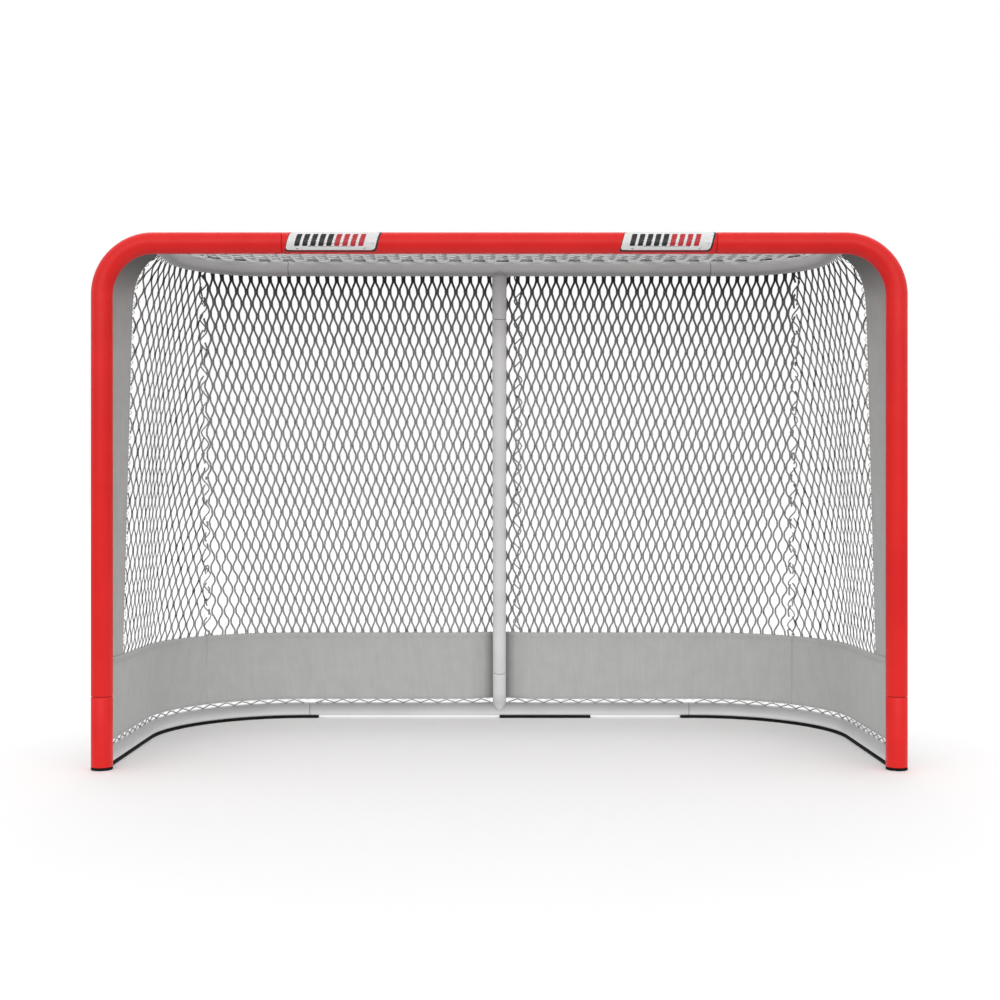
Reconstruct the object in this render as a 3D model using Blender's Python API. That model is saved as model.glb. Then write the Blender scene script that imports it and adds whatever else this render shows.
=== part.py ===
"""Knock-down ice hockey goal: steel tube frame, lacing rods, canvas skirt and diamond netting.

Metres, +Z up. The mouth faces -Y and the net is on the +Y side. The origin lies on the floor, under
the middle of the goal's own box. Pieces are modelled with y = 0 on the axis plane of the posts, and
an empty carries them all back to the origin.
"""

import math
from functools import partial

import bmesh
import bpy
from mathutils import Matrix, Vector

# Sizes of the mouth and of the tubes
MOUTH_WIDTH = 1.8288
MOUTH_HEIGHT = 1.2192
FRONT_DIAMETER = 0.0508
FRONT_WALL = 0.002
REAR_DIAMETER = 0.0381
REAR_WALL = 0.0018
TOP_BEND_RADIUS = 0.1225

# The base and the top shelf, measured from the axis plane of the posts
BASE_DEPTH = 0.813
BASE_BEND_RADIUS = 0.380
SHELF_DEPTH = 0.381
SHELF_INSET = 0.1248
SHELF_BEND_RADIUS = 0.200

# Joints: where the tubes part, and how their drawn-in ends slip into each other
POST_SEAM_HEIGHT = 0.173
CROSSBAR_SEAM = 0.512
SEAM_PAST_BEND = 0.0065
SPIGOT_LENGTH = 0.060
SLIP_CLEARANCE = 0.0003
SEAT_GAP = 0.0003
EDGE_BREAK = 0.0008
SHELF_STUB_LENGTH = 0.131
BASE_STUB_LENGTH = 0.120

# Bolts through the slip joints
BOLT_SETBACK = 0.030
BOLT_SHANK = 0.0058
BOLT_HEAD = 0.011
BOLT_HEAD_TOP = 0.0055
BOLT_HEAD_HEIGHT = 0.0035
BOLT_GRIP = 0.009
BOLT_HOLE = 0.0064
POST_BOLT_ANGLE = math.radians(45)
REAR_BOLT_ANGLE = math.radians(60)

# Rubber under the posts and under the base tube
PAD_THICKNESS = 0.00635
PAD_WIDTH = 0.025
PAD_EDGE_BREAK = 0.0015
FOOT_PLUG_LENGTH = 0.020
CORNER_PAD_END = 0.530
CENTRE_PAD_LENGTH = 0.266

# Zigzag lacing rods
LACING_HEIGHT = 0.0115
LACING_WIRE = 0.004
LACING_PITCH = 0.0504
LACING_SEAM_GAP = 0.020
LACING_SUPPORT_GAP = 0.028
LACING_TUBE_GAP = 0.012
LACING_POST_START = 0.062
LACING_BASE_START = 0.050
LACING_BEND_ROOM = 0.0003

# Canvas and netting
CANVAS_THICKNESS = 0.0015
SKIRT_HEIGHT = 0.200
FLAP_REACH = 0.150
SKIRT_LEAN = 0.0113
FLAP_LEAN = 0.027
DRAW_POWER = 6
FLARE_POWER = 4
NET_THICKNESS = 0.0045
STRAND_WIDTH = 0.0064
NET_ROWS = 4
DIAMOND_WIDTH = 0.116
TOP_DIAMOND_LENGTH = 0.270
TOP_DIAMOND_WIDTH = 0.117
NET_HEM_GAP = 0.0006
BACK_SEAM = 0.046
DRAPE_ROOM = 0.0012
DRAPE_FLAT = 0.022
DRAPE_END = 0.090
SEAM_ANGLE = math.radians(45)
WALL_PROBE = 0.001

# Facets
FRONT_SIDES = 20
REAR_SIDES = 16
BOLT_SIDES = 8
TOP_BEND_STEPS = 7
BASE_BEND_STEPS = 8
SHELF_BEND_STEPS = 6
SKIRT_ROW_COUNT = 2
SKIRT_SIDE_STEPS = 2
SKIRT_CORNER_STEPS = 4
SKIRT_DRAPE_STEPS = 3
FLAP_ROW_COUNT = 4
FLAP_WIDTH_STEPS = 2
TOP_NET_CORNER_STEPS = 4
SHARP_ANGLE = math.radians(35)
MERGE_DISTANCE = 1e-6

# Base colour, roughness and metallic share of each material
LOOKS = {
    "red_paint": ((0.72, 0.03, 0.03), 0.3, 0.0),
    "white_paint": ((0.78, 0.78, 0.78), 0.35, 0.0),
    "black_rubber": ((0.02, 0.02, 0.02), 0.7, 0.0),
    "zinc_wire": ((0.5, 0.5, 0.5), 0.4, 0.8),
    "zinc_steel": ((0.55, 0.55, 0.55), 0.35, 0.9),
    "grey_canvas": ((0.38, 0.39, 0.4), 0.85, 0.0),
    "net_cord": ((0.2, 0.21, 0.22), 0.8, 0.0),
}

# Sizes that follow from the ones above
FRONT_RADIUS = FRONT_DIAMETER / 2
REAR_RADIUS = REAR_DIAMETER / 2
POST_X = MOUTH_WIDTH / 2 + FRONT_RADIUS
CROSSBAR_Z = MOUTH_HEIGHT + FRONT_RADIUS
BEND_START_Z = CROSSBAR_Z - TOP_BEND_RADIUS
BEND_END_X = POST_X - TOP_BEND_RADIUS
BASE_Z = PAD_THICKNESS + REAR_RADIUS
SHELF_Z = CROSSBAR_Z
SHELF_X = POST_X - SHELF_INSET
REAR_SEAM = POST_X - BASE_BEND_RADIUS - SEAM_PAST_BEND
FRAME_Y = (FRONT_RADIUS - BASE_DEPTH - REAR_RADIUS) / 2
HEM_REACH = FRONT_RADIUS + LACING_HEIGHT
SKIRT_BOTTOM_Z = BASE_Z + REAR_RADIUS + LACING_HEIGHT
SKIRT_TOP_Z = SKIRT_BOTTOM_Z + SKIRT_HEIGHT
NET_STANDOFF = REAR_RADIUS + SEAT_GAP + NET_THICKNESS / 2
TOP_NET_Z = SHELF_Z + NET_STANDOFF
TOP_HEM_ANGLE = math.asin(NET_STANDOFF / HEM_REACH)
SUPPORT_TOP = Vector((0, SHELF_DEPTH, SHELF_Z))
SUPPORT_FOOT = Vector((0, BASE_DEPTH, BASE_Z))
SUPPORT_DOWN = (SUPPORT_FOOT - SUPPORT_TOP).normalized()
SUPPORT_STANDOFF = NET_STANDOFF / abs(SUPPORT_DOWN.z) + DRAPE_ROOM
WIRE_SEAT = LACING_WIRE / 2 + SEAT_GAP
QUARTER_TURN = math.pi / 2
SEAM_TURN = 1 + SEAM_ANGLE / QUARTER_TURN

X_AXIS = Vector((1, 0, 0))
Y_AXIS = Vector((0, 1, 0))
Z_AXIS = Vector((0, 0, 1))


def clear_scene():
    for obj in list(bpy.data.objects):
        bpy.data.objects.remove(obj, do_unlink=True)


def make_material(name, colour, roughness, metallic):
    material = bpy.data.materials.new(name)
    material.use_nodes = True
    shader = material.node_tree.nodes["Principled BSDF"]
    shader.inputs["Base Color"].default_value = (*colour, 1.0)
    shader.inputs["Roughness"].default_value = roughness
    shader.inputs["Metallic"].default_value = metallic
    return material


def link_object(name, data, material, carrier, location=(0, 0, 0)):
    obj = bpy.data.objects.new(name, data)
    bpy.context.scene.collection.objects.link(obj)
    data.materials.append(material)
    obj.location = location
    obj.parent = carrier
    return obj


def mesh_object(name, bm, material, carrier, location=(0, 0, 0), smooth=True):
    """Turns a bmesh into a named object with its faces pointing out."""
    bmesh.ops.recalc_face_normals(bm, faces=bm.faces[:])
    if bm.calc_volume(signed=True) < 0:
        bmesh.ops.reverse_faces(bm, faces=bm.faces[:])
    mesh = bpy.data.meshes.new(name)
    bm.to_mesh(mesh)
    bm.free()
    if smooth:
        mesh.shade_smooth()
        mesh.set_sharp_from_angle(angle=SHARP_ANGLE)
    return link_object(name, mesh, material, carrier, location)


def hide_tool(obj):
    obj.hide_render = True
    obj.display_type = "WIRE"
    return obj


def combine(obj, tool, operation):
    modifier = obj.modifiers.new(f"{operation.lower()} {tool.name}", "BOOLEAN")
    modifier.operation = operation
    modifier.object = tool


# Lofts: rings of points joined into one closed skin


def round_ring(centre, along, up, radius, sides):
    across = along.cross(up).normalized()
    turns = [2 * math.pi * i / sides for i in range(sides)]
    return [centre + radius * (math.cos(a) * across + math.sin(a) * up) for a in turns]


def flat_ring(centre, along, up, outline):
    across = along.cross(up).normalized()
    return [centre + s * across + h * up for s, h in outline]


def loft(rings, capped):
    """Joins each ring to the next. A capped loft gets end faces, any other runs back into itself."""
    bm = bmesh.new()
    loops = [[bm.verts.new(p) for p in ring] for ring in rings]
    pairs = list(zip(loops, loops[1:]))
    if capped:
        bm.faces.new(loops[0])
        bm.faces.new(loops[-1])
    else:
        pairs.append((loops[-1], loops[0]))
    for low, high in pairs:
        count = len(low)
        for i in range(count):
            j = (i + 1) % count
            bm.faces.new((low[i], low[j], high[j], high[i]))
    return bm


def bent_path(start, corner, end, radius, steps):
    """Stations (point, direction) of a tube bent once, from start by way of the corner to end."""
    first = (corner - start).normalized()
    last = (end - corner).normalized()
    turn = first.angle(last)
    tangent = radius * math.tan(turn / 2)
    bend_start = corner - first * tangent
    inward = (last - first * first.dot(last)).normalized()
    centre = bend_start + inward * radius
    stations = [(start, first)]
    for i in range(steps + 1):
        a = turn * i / steps
        point = centre - radius * math.cos(a) * inward + radius * math.sin(a) * first
        stations.append((point, math.cos(a) * first + math.sin(a) * inward))
    stations.append((end, last))
    return stations


def pipe_rings(stations, up, radius, wall, sides, spigot_start=False, spigot_end=False):
    """Rings of a hollow tube: down its outside, and back up its bore.

    A plain end has a broken edge. A drawn-in end steps down to a spigot, which slips into the bore of
    a tube of the same size.
    """
    bore = radius - wall
    spigot = bore - SLIP_CLEARANCE
    spigot_bore = spigot - wall
    (first, first_way), (last, last_way) = stations[0], stations[-1]

    def tip(point, outward, is_spigot):
        """Outer and inner (place, radius) pairs of one end, from the body of the tube outwards."""
        if is_spigot:
            shoulder = point - outward * SEAT_GAP
            end = point + outward * SPIGOT_LENGTH
            outer = [
                (shoulder - outward * EDGE_BREAK, radius),
                (shoulder, radius - EDGE_BREAK),
                (shoulder, spigot),
                (end, spigot),
            ]
            inner = [
                (shoulder - outward * 2 * wall, bore),
                (shoulder - outward * wall, spigot_bore),
                (end, spigot_bore),
            ]
            return outer, inner
        outer = [(point - outward * EDGE_BREAK, radius), (point, radius - EDGE_BREAK)]
        return outer, [(point, bore)]

    start_outer, start_inner = tip(first, -first_way, spigot_start)
    end_outer, end_inner = tip(last, last_way, spigot_end)
    outside = [(p, first_way, r) for p, r in reversed(start_outer)]
    outside += [(p, way, radius) for p, way in stations[1:-1]]
    outside += [(p, last_way, r) for p, r in end_outer]
    inside = [(p, first_way, r) for p, r in reversed(start_inner)]
    inside += [(p, way, bore) for p, way in stations[1:-1]]
    inside += [(p, last_way, r) for p, r in end_inner]
    return [round_ring(p, way, up, r, sides) for p, way, r in outside + inside[::-1]]


def solid_rings(stations, up, radius, sides):
    return [round_ring(p, way, up, radius, sides) for p, way in stations]


# Paths of the tube axes, for the side on +X or, mirrored, the side on -X


def mirrored(stations, side):
    flip = Matrix.Diagonal((side, 1, 1))
    return [(flip @ p, flip @ way) for p, way in stations]


def top_corner_path(side):
    start = Vector((POST_X, 0, POST_SEAM_HEIGHT))
    corner = Vector((POST_X, 0, CROSSBAR_Z))
    end = Vector((CROSSBAR_SEAM, 0, CROSSBAR_Z))
    return mirrored(bent_path(start, corner, end, TOP_BEND_RADIUS, TOP_BEND_STEPS), side)


def base_corner_path(side, front=0.0, end=REAR_SEAM):
    start = Vector((POST_X, front, BASE_Z))
    corner = Vector((POST_X, BASE_DEPTH, BASE_Z))
    finish = Vector((end, BASE_DEPTH, BASE_Z))
    return mirrored(bent_path(start, corner, finish, BASE_BEND_RADIUS, BASE_BEND_STEPS), side)


def shelf_corner_path(side):
    start = Vector((SHELF_X, 0, SHELF_Z))
    corner = Vector((SHELF_X, SHELF_DEPTH, SHELF_Z))
    end = Vector((REAR_SEAM, SHELF_DEPTH, SHELF_Z))
    return mirrored(bent_path(start, corner, end, SHELF_BEND_RADIUS, SHELF_BEND_STEPS), side)


# The net's wall: it hangs from the shelf tube to the base tube, round the back of the frame


def mix(a, b, share):
    return a + (b - a) * share


def wall_sizes(z):
    """Depth, half width and corner radius of the net's outline at a height."""
    t = (z - BASE_Z) / (SHELF_Z - BASE_Z)
    depth = mix(BASE_DEPTH, SHELF_DEPTH + NET_STANDOFF, t)
    half_width = mix(POST_X, SHELF_X + NET_STANDOFF, t)
    radius = mix(BASE_BEND_RADIUS, SHELF_BEND_RADIUS + NET_STANDOFF, t)
    return depth, half_width, radius


def frame_x(z):
    """The front frame's axis at a height: the post, then the top bend."""
    rise = min(max(z - BEND_START_Z, 0.0), TOP_BEND_RADIUS)
    return BEND_END_X + math.sqrt(TOP_BEND_RADIUS**2 - rise**2)


def flap_edge_x(z):
    """The far edge of the post flap: it leans in, then is drawn in to the shelf tube."""
    if z < SKIRT_TOP_Z:
        return mix(POST_X, POST_X - SKIRT_LEAN, (z - BASE_Z) / (SKIRT_TOP_Z - BASE_Z))
    leaning = POST_X - SKIRT_LEAN - FLAP_LEAN * (z - SKIRT_TOP_Z) / (SHELF_Z - SKIRT_TOP_Z)
    top = POST_X - SKIRT_LEAN - FLAP_LEAN
    draw_start = SHELF_Z - 2 * TOP_BEND_RADIUS
    share = max(0.0, (z - draw_start) / (SHELF_Z - draw_start))
    return leaning - (top - SHELF_X - NET_STANDOFF) * share**DRAW_POWER


def side_runs(z):
    """Lengths of the side's straight run and of its part of the corner, from the flap to the seam."""
    depth, _, radius = wall_sizes(z)
    return depth - radius - FLAP_REACH, radius * SEAM_ANGLE


def back_runs(z):
    """Lengths of the back's straight run and of its part of the corner, from the middle to the seam."""
    _, half_width, radius = wall_sizes(z)
    return half_width - radius, radius * (QUARTER_TURN - SEAM_ANGLE)


def wall_point(turn, z):
    """A point of the net's wall on the +X side.

    turn runs from -1 at the post, by 0 at the flap's edge, 1 and 2 at the ends of the corner arc, to
    3 in the middle of the back.
    """
    depth, half_width, radius = wall_sizes(z)
    if turn < 0:
        x = mix(frame_x(z), flap_edge_x(z), 1 + turn)
        return Vector((x, mix(HEM_REACH, FLAP_REACH, 1 + turn), z))
    straight, corner = side_runs(z)
    travelled = straight * min(turn, 1) + radius * QUARTER_TURN * max(turn - 1, 0)
    slack = max(0.0, 1 - travelled / (straight + corner))
    flare = (flap_edge_x(z) - half_width) * slack**FLARE_POWER
    if turn <= 1:
        return Vector((half_width + flare, mix(FLAP_REACH, depth - radius, turn), z))
    if turn <= 2:
        a = (turn - 1) * QUARTER_TURN
        x = half_width - radius + radius * math.cos(a) + flare
        return Vector((x, depth - radius + radius * math.sin(a), z))
    x = (half_width - radius) * (3 - turn)
    t = (z - BASE_Z) / (SHELF_Z - BASE_Z)
    away = min(max((x - DRAPE_FLAT) / (DRAPE_END - DRAPE_FLAT), 0.0), 1.0)
    drape = (SUPPORT_STANDOFF - NET_STANDOFF * t) * (1 - away * away * (3 - 2 * away))
    return Vector((x, depth + drape, z))


def on_side(point, side):
    return Vector((point.x * side, point.y, point.z))


def side_net_point(side, run, z):
    """run is the way along the wall, back from the flap's edge."""
    straight, corner = side_runs(z)
    if run <= straight:
        turn = run / straight
    else:
        turn = 1 + (run - straight) / corner * (SEAM_TURN - 1)
    return on_side(wall_point(turn, z), side)


def back_net_point(run, z):
    """run is the way along the wall from its middle, and positive towards +X."""
    straight, corner = back_runs(z)
    length = abs(run)
    if length <= straight:
        turn = 3 - length / straight
    else:
        turn = 2 - (length - straight) / corner * (2 - SEAM_TURN)
    return on_side(wall_point(turn, z), math.copysign(1, run))


# Steel tubes


def make_frame_cutter(carrier, material):
    """The whole front frame a seat gap thicker, which gives the rear tubes their fish-mouth ends."""
    right = top_corner_path(1)
    left = top_corner_path(-1)[::-1]
    below = Vector((0, 0, POST_SEAM_HEIGHT + REAR_DIAMETER))
    stations = [(right[0][0] - below, Z_AXIS)] + right[1:-1]
    stations += [(p, -way) for p, way in left[1:-1]] + [(left[-1][0] - below, -Z_AXIS)]
    radius = FRONT_RADIUS + SEAT_GAP
    bm = loft(solid_rings(stations, Y_AXIS, radius, FRONT_SIDES), capped=True)
    return hide_tool(mesh_object("frame_cutter", bm, material, carrier))


def make_front_frame(carrier, paint):
    pieces = {}
    for name, side in (("left", -1), ("right", 1)):
        ends = [(Vector((0, 0, PAD_THICKNESS)), Z_AXIS), (Vector((0, 0, POST_SEAM_HEIGHT)), Z_AXIS)]
        rings = pipe_rings(ends, Y_AXIS, FRONT_RADIUS, FRONT_WALL, FRONT_SIDES)
        post = f"{name}_lower_post"
        pieces[post] = mesh_object(post, loft(rings, False), paint, carrier, (side * POST_X, 0, 0))
        path = top_corner_path(side)
        rings = pipe_rings(path, Y_AXIS, FRONT_RADIUS, FRONT_WALL, FRONT_SIDES, True, True)
        corner = f"{name}_top_corner"
        pieces[corner] = mesh_object(corner, loft(rings, False), paint, carrier)
    ends = [(Vector((-CROSSBAR_SEAM, 0, 0)), X_AXIS), (Vector((CROSSBAR_SEAM, 0, 0)), X_AXIS)]
    rings = pipe_rings(ends, Y_AXIS, FRONT_RADIUS, FRONT_WALL, FRONT_SIDES)
    bar = mesh_object("crossbar", loft(rings, False), paint, carrier, (0, 0, CROSSBAR_Z))
    pieces["crossbar"] = bar
    return pieces


def make_rear_corners(carrier, paint, cutter):
    """Base and shelf corners: coped on the front frame, drawn in for the seam at the back."""
    pieces = {}
    for name, side in (("left", -1), ("right", 1)):
        for level, path in (("base", base_corner_path(side)), ("shelf", shelf_corner_path(side))):
            rings = pipe_rings(path, Z_AXIS, REAR_RADIUS, REAR_WALL, REAR_SIDES, False, True)
            full = f"{name}_{level}_corner"
            pieces[full] = mesh_object(full, loft(rings, False), paint, carrier)
            combine(pieces[full], cutter, "DIFFERENCE")
    return pieces


def straight_solid(name, start, end, up, radius, carrier, material):
    way = (end - start).normalized()
    bm = loft(solid_rings([(start, way), (end, way)], up, radius, REAR_SIDES), capped=True)
    return hide_tool(mesh_object(name, bm, material, carrier))


def make_tee(name, middle, stub_reach, carrier, paint):
    """A straight tube with a stub for the centre support: outsides joined, then both bores cut."""
    profile = [
        (-REAR_SEAM, REAR_RADIUS - EDGE_BREAK),
        (EDGE_BREAK - REAR_SEAM, REAR_RADIUS),
        (REAR_SEAM - EDGE_BREAK, REAR_RADIUS),
        (REAR_SEAM, REAR_RADIUS - EDGE_BREAK),
    ]
    rings = [round_ring(X_AXIS * x, X_AXIS, Z_AXIS, r, REAR_SIDES) for x, r in profile]
    tee = mesh_object(name, loft(rings, capped=True), paint, carrier, middle)
    bore = REAR_RADIUS - REAR_WALL
    overrun = X_AXIS * (REAR_SEAM + SPIGOT_LENGTH)
    stub_end = middle + stub_reach
    bore_end = stub_end + stub_reach.normalized() * SPIGOT_LENGTH

    def tool(use, start, end, up, radius):
        return straight_solid(f"{name}_{use}", start, end, up, radius, carrier, paint)

    stub = tool("stub", middle, stub_end, X_AXIS, REAR_RADIUS)
    stub_bore = tool("stub_bore", middle, bore_end, X_AXIS, bore)
    run_bore = tool("run_bore", middle - overrun, middle + overrun, Z_AXIS, bore)
    combine(tee, stub, "UNION")
    combine(tee, run_bore, "DIFFERENCE")
    combine(tee, stub_bore, "DIFFERENCE")
    return tee


def make_centre_support(carrier, paint):
    top = SUPPORT_TOP + SUPPORT_DOWN * SHELF_STUB_LENGTH
    foot = SUPPORT_FOOT - SUPPORT_DOWN * BASE_STUB_LENGTH
    ends = [(top, SUPPORT_DOWN), (foot, SUPPORT_DOWN)]
    rings = pipe_rings(ends, X_AXIS, REAR_RADIUS, REAR_WALL, REAR_SIDES, True, True)
    return mesh_object("centre_support", loft(rings, False), paint, carrier)


# Bolts and their holes


def make_bolt(name, axis_point, outward, tube_radius, pieces, carrier, metal):
    """A button-head bolt through both walls of a slip joint. Its hole is cut in each of the pieces."""
    up = X_AXIS if outward.z else Z_AXIS
    seat = axis_point + outward * (tube_radius + SEAT_GAP)
    profile = [
        (-BOLT_GRIP, BOLT_SHANK / 2),
        (0.0, BOLT_SHANK / 2),
        (0.0, BOLT_HEAD / 2),
        (BOLT_HEAD_HEIGHT / 2, BOLT_HEAD / 2),
        (BOLT_HEAD_HEIGHT, BOLT_HEAD_TOP / 2),
    ]
    rings = [round_ring(seat + outward * h, outward, up, r, BOLT_SIDES) for h, r in profile]
    mesh_object(name, loft(rings, capped=True), metal, carrier)
    hole_ends = (seat - outward * 2 * BOLT_GRIP, seat + outward * BOLT_HEAD)
    rings = [round_ring(p, outward, up, BOLT_HOLE / 2, BOLT_SIDES) for p in hole_ends]
    hole = hide_tool(mesh_object(f"{name}_hole", loft(rings, capped=True), metal, carrier))
    for piece in pieces:
        combine(piece, hole, "DIFFERENCE")


def make_bolts(front, rear, tees, carrier, metal):
    for name, side in (("left", -1), ("right", 1)):
        corner = front[f"{name}_top_corner"]
        point = Vector((side * POST_X, 0, POST_SEAM_HEIGHT - BOLT_SETBACK))
        outward = Vector((side * math.sin(POST_BOLT_ANGLE), math.cos(POST_BOLT_ANGLE), 0))
        joined = (front[f"{name}_lower_post"], corner)
        make_bolt(f"{name}_post_bolt", point, outward, FRONT_RADIUS, joined, carrier, metal)
        point = Vector((side * (CROSSBAR_SEAM - BOLT_SETBACK), 0, CROSSBAR_Z))
        joined = (front["crossbar"], corner)
        make_bolt(f"{name}_crossbar_bolt", point, Y_AXIS, FRONT_RADIUS, joined, carrier, metal)
        outward = Vector((0, math.cos(REAR_BOLT_ANGLE), math.sin(REAR_BOLT_ANGLE)))
        for level, middle in (("base", SUPPORT_FOOT), ("shelf", SUPPORT_TOP)):
            point = middle + X_AXIS * side * (REAR_SEAM - BOLT_SETBACK)
            joined = (tees[level], rear[f"{name}_{level}_corner"])
            make_bolt(f"{name}_{level}_bolt", point, outward, REAR_RADIUS, joined, carrier, metal)


# Rubber feet and floor pads


def make_feet(carrier, rubber):
    plug = FRONT_RADIUS - FRONT_WALL - SLIP_CLEARANCE
    shoulder = PAD_THICKNESS - SEAT_GAP
    profile = [
        (0.0, FRONT_RADIUS),
        (shoulder, FRONT_RADIUS),
        (shoulder, plug),
        (shoulder + FOOT_PLUG_LENGTH, plug),
    ]
    for name, side in (("left", -1), ("right", 1)):
        rings = [round_ring(Z_AXIS * h, Z_AXIS, Y_AXIS, r, FRONT_SIDES) for h, r in profile]
        place = (side * POST_X, 0, 0)
        mesh_object(f"{name}_post_foot", loft(rings, capped=True), rubber, carrier, place)


def make_pads(carrier, rubber):
    """Rubber strips between the base tube and the floor."""
    half = PAD_WIDTH / 2
    top = PAD_THICKNESS - SEAT_GAP
    shoulder = top - PAD_EDGE_BREAK
    outline = [(-half, 0), (half, 0), (half, shoulder), (half - PAD_EDGE_BREAK, top)]
    outline += [(PAD_EDGE_BREAK - half, top), (-half, shoulder)]
    drop = Vector((0, 0, -BASE_Z))
    start = FRONT_RADIUS + SEAT_GAP
    for name, side in (("left", -1), ("right", 1)):
        path = base_corner_path(side, start, CORNER_PAD_END)
        rings = [flat_ring(p + drop, way, Z_AXIS, outline) for p, way in path]
        mesh_object(f"{name}_floor_pad", loft(rings, capped=True), rubber, carrier, smooth=False)
    rings = [flat_ring(X_AXIS * x, X_AXIS, Z_AXIS, outline) for x in (0.0, CENTRE_PAD_LENGTH)]
    bm = loft(rings, capped=True)
    mesh_object("centre_floor_pad", bm, rubber, carrier, (0, BASE_DEPTH, 0), smooth=False)


# Lacing rods


def make_rod(name, low, high, start, end, carrier, wire):
    """A zigzag wire: its low bends stand on the tube, and its high bends reach the hem."""
    turns = 2 * max(1, round((end - start) / LACING_PITCH))
    curve = bpy.data.curves.new(name, "CURVE")
    curve.dimensions = "3D"
    curve.bevel_depth = LACING_WIRE / 2
    curve.bevel_resolution = 0
    curve.use_fill_caps = True
    spline = curve.splines.new("POLY")
    spline.points.add(turns)
    for i in range(turns + 1):
        place = mix(start, end, i / turns)
        point = high(place) if i % 2 else low(place)
        spline.points[i].co = (*point, 1)
    return link_object(name, curve, wire, carrier)


def front_axis_point(run):
    """The front frame's axis, run metres up the post from the floor and then round the bend."""
    if run <= BEND_START_Z:
        return Vector((POST_X, 0, run))
    a = (run - BEND_START_Z) / TOP_BEND_RADIUS
    bend = TOP_BEND_RADIUS * Vector((math.cos(a), 0, math.sin(a)))
    return Vector((BEND_END_X, 0, BEND_START_Z)) + bend


def make_post_rods(name, side, carrier, wire):
    def low(run):
        return on_side(front_axis_point(run) + Y_AXIS * (FRONT_RADIUS + WIRE_SEAT), side)

    def high(run):
        return on_side(front_axis_point(run) + Y_AXIS * (HEM_REACH - WIRE_SEAT), side)

    end = POST_SEAM_HEIGHT - LACING_SEAM_GAP
    make_rod(f"{name}_lower_post_rod", low, high, LACING_POST_START, end, carrier, wire)
    start = POST_SEAM_HEIGHT + LACING_SEAM_GAP
    beside_shelf = SHELF_X + REAR_RADIUS + LACING_TUBE_GAP
    bend_angle = math.acos((beside_shelf - BEND_END_X) / TOP_BEND_RADIUS)
    end = BEND_START_Z + TOP_BEND_RADIUS * bend_angle
    make_rod(f"{name}_post_rod", low, high, start, end, carrier, wire)


def make_crossbar_rods(carrier, wire):
    """Rods on the upper back of the crossbar, which hold the front edge of the top net."""
    outward = Vector((0, math.cos(TOP_HEM_ANGLE), math.sin(TOP_HEM_ANGLE)))

    def low(x):
        return Vector((x, 0, CROSSBAR_Z)) + outward * (FRONT_RADIUS + WIRE_SEAT)

    def high(x):
        return Vector((x, 0, CROSSBAR_Z)) + outward * (HEM_REACH - WIRE_SEAT)

    inner = CROSSBAR_SEAM - LACING_SEAM_GAP
    make_rod("crossbar_rod", low, high, -inner, inner, carrier, wire)
    start = CROSSBAR_SEAM + LACING_SEAM_GAP
    end = SHELF_X - REAR_RADIUS - LACING_TUBE_GAP
    make_rod("left_crossbar_end_rod", low, high, -end, -start, carrier, wire)
    make_rod("right_crossbar_end_rod", low, high, start, end, carrier, wire)


def base_turn(run):
    """The wall's turn at run metres along the base tube, from the posts' axis plane to the middle."""
    side_run = BASE_DEPTH - BASE_BEND_RADIUS
    bend_run = BASE_BEND_RADIUS * QUARTER_TURN
    if run <= FLAP_REACH:
        return (run - HEM_REACH) / (FLAP_REACH - HEM_REACH) - 1
    if run <= side_run:
        return (run - FLAP_REACH) / (side_run - FLAP_REACH)
    if run <= side_run + bend_run:
        return 1 + (run - side_run) / bend_run
    return 2 + (run - side_run - bend_run) / (POST_X - BASE_BEND_RADIUS)


def base_axis_point(turn):
    """The base tube's axis beside the wall's point at that turn."""
    if turn <= 2:
        return wall_point(turn, BASE_Z)
    return Vector(((POST_X - BASE_BEND_RADIUS) * (3 - turn), BASE_DEPTH, BASE_Z))


def make_base_rods(name, side, carrier, wire):
    def low(run):
        turn = base_turn(run)
        axis = base_axis_point(turn)
        outward = (wall_point(turn, SKIRT_BOTTOM_Z) - axis).normalized()
        return on_side(axis + outward * (REAR_RADIUS + WIRE_SEAT + LACING_BEND_ROOM), side)

    def high(run):
        turn = base_turn(run)
        hem = wall_point(turn, SKIRT_BOTTOM_Z)
        outward = (hem - base_axis_point(turn)).normalized()
        return on_side(hem - outward * WIRE_SEAT, side)

    side_run = BASE_DEPTH - BASE_BEND_RADIUS
    middle = side_run + BASE_BEND_RADIUS * QUARTER_TURN + POST_X - BASE_BEND_RADIUS
    seam = middle - REAR_SEAM
    end = seam - LACING_SEAM_GAP
    make_rod(f"{name}_base_rod", low, high, LACING_BASE_START, end, carrier, wire)
    start = seam + LACING_SEAM_GAP
    end = middle - LACING_SUPPORT_GAP
    make_rod(f"{name}_centre_rod", low, high, start, end, carrier, wire)


# Canvas


def sheet_object(name, rows, thickness, material, carrier):
    """A sheet through rows of points, given its thickness evenly on both sides."""
    bm = bmesh.new()
    grid = [[bm.verts.new(p) for p in row] for row in rows]
    for row, above in zip(grid, grid[1:]):
        for i in range(len(row) - 1):
            bm.faces.new((row[i], row[i + 1], above[i + 1], above[i]))
    obj = mesh_object(name, bm, material, carrier)
    thicken(obj, thickness)
    return obj


def thicken(obj, thickness):
    solidify = obj.modifiers.new("thickness", "SOLIDIFY")
    solidify.thickness = thickness
    solidify.offset = 0
    solidify.use_even_offset = True


def steps(start, end, count):
    return [mix(start, end, i / count) for i in range(count + 1)]


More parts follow.
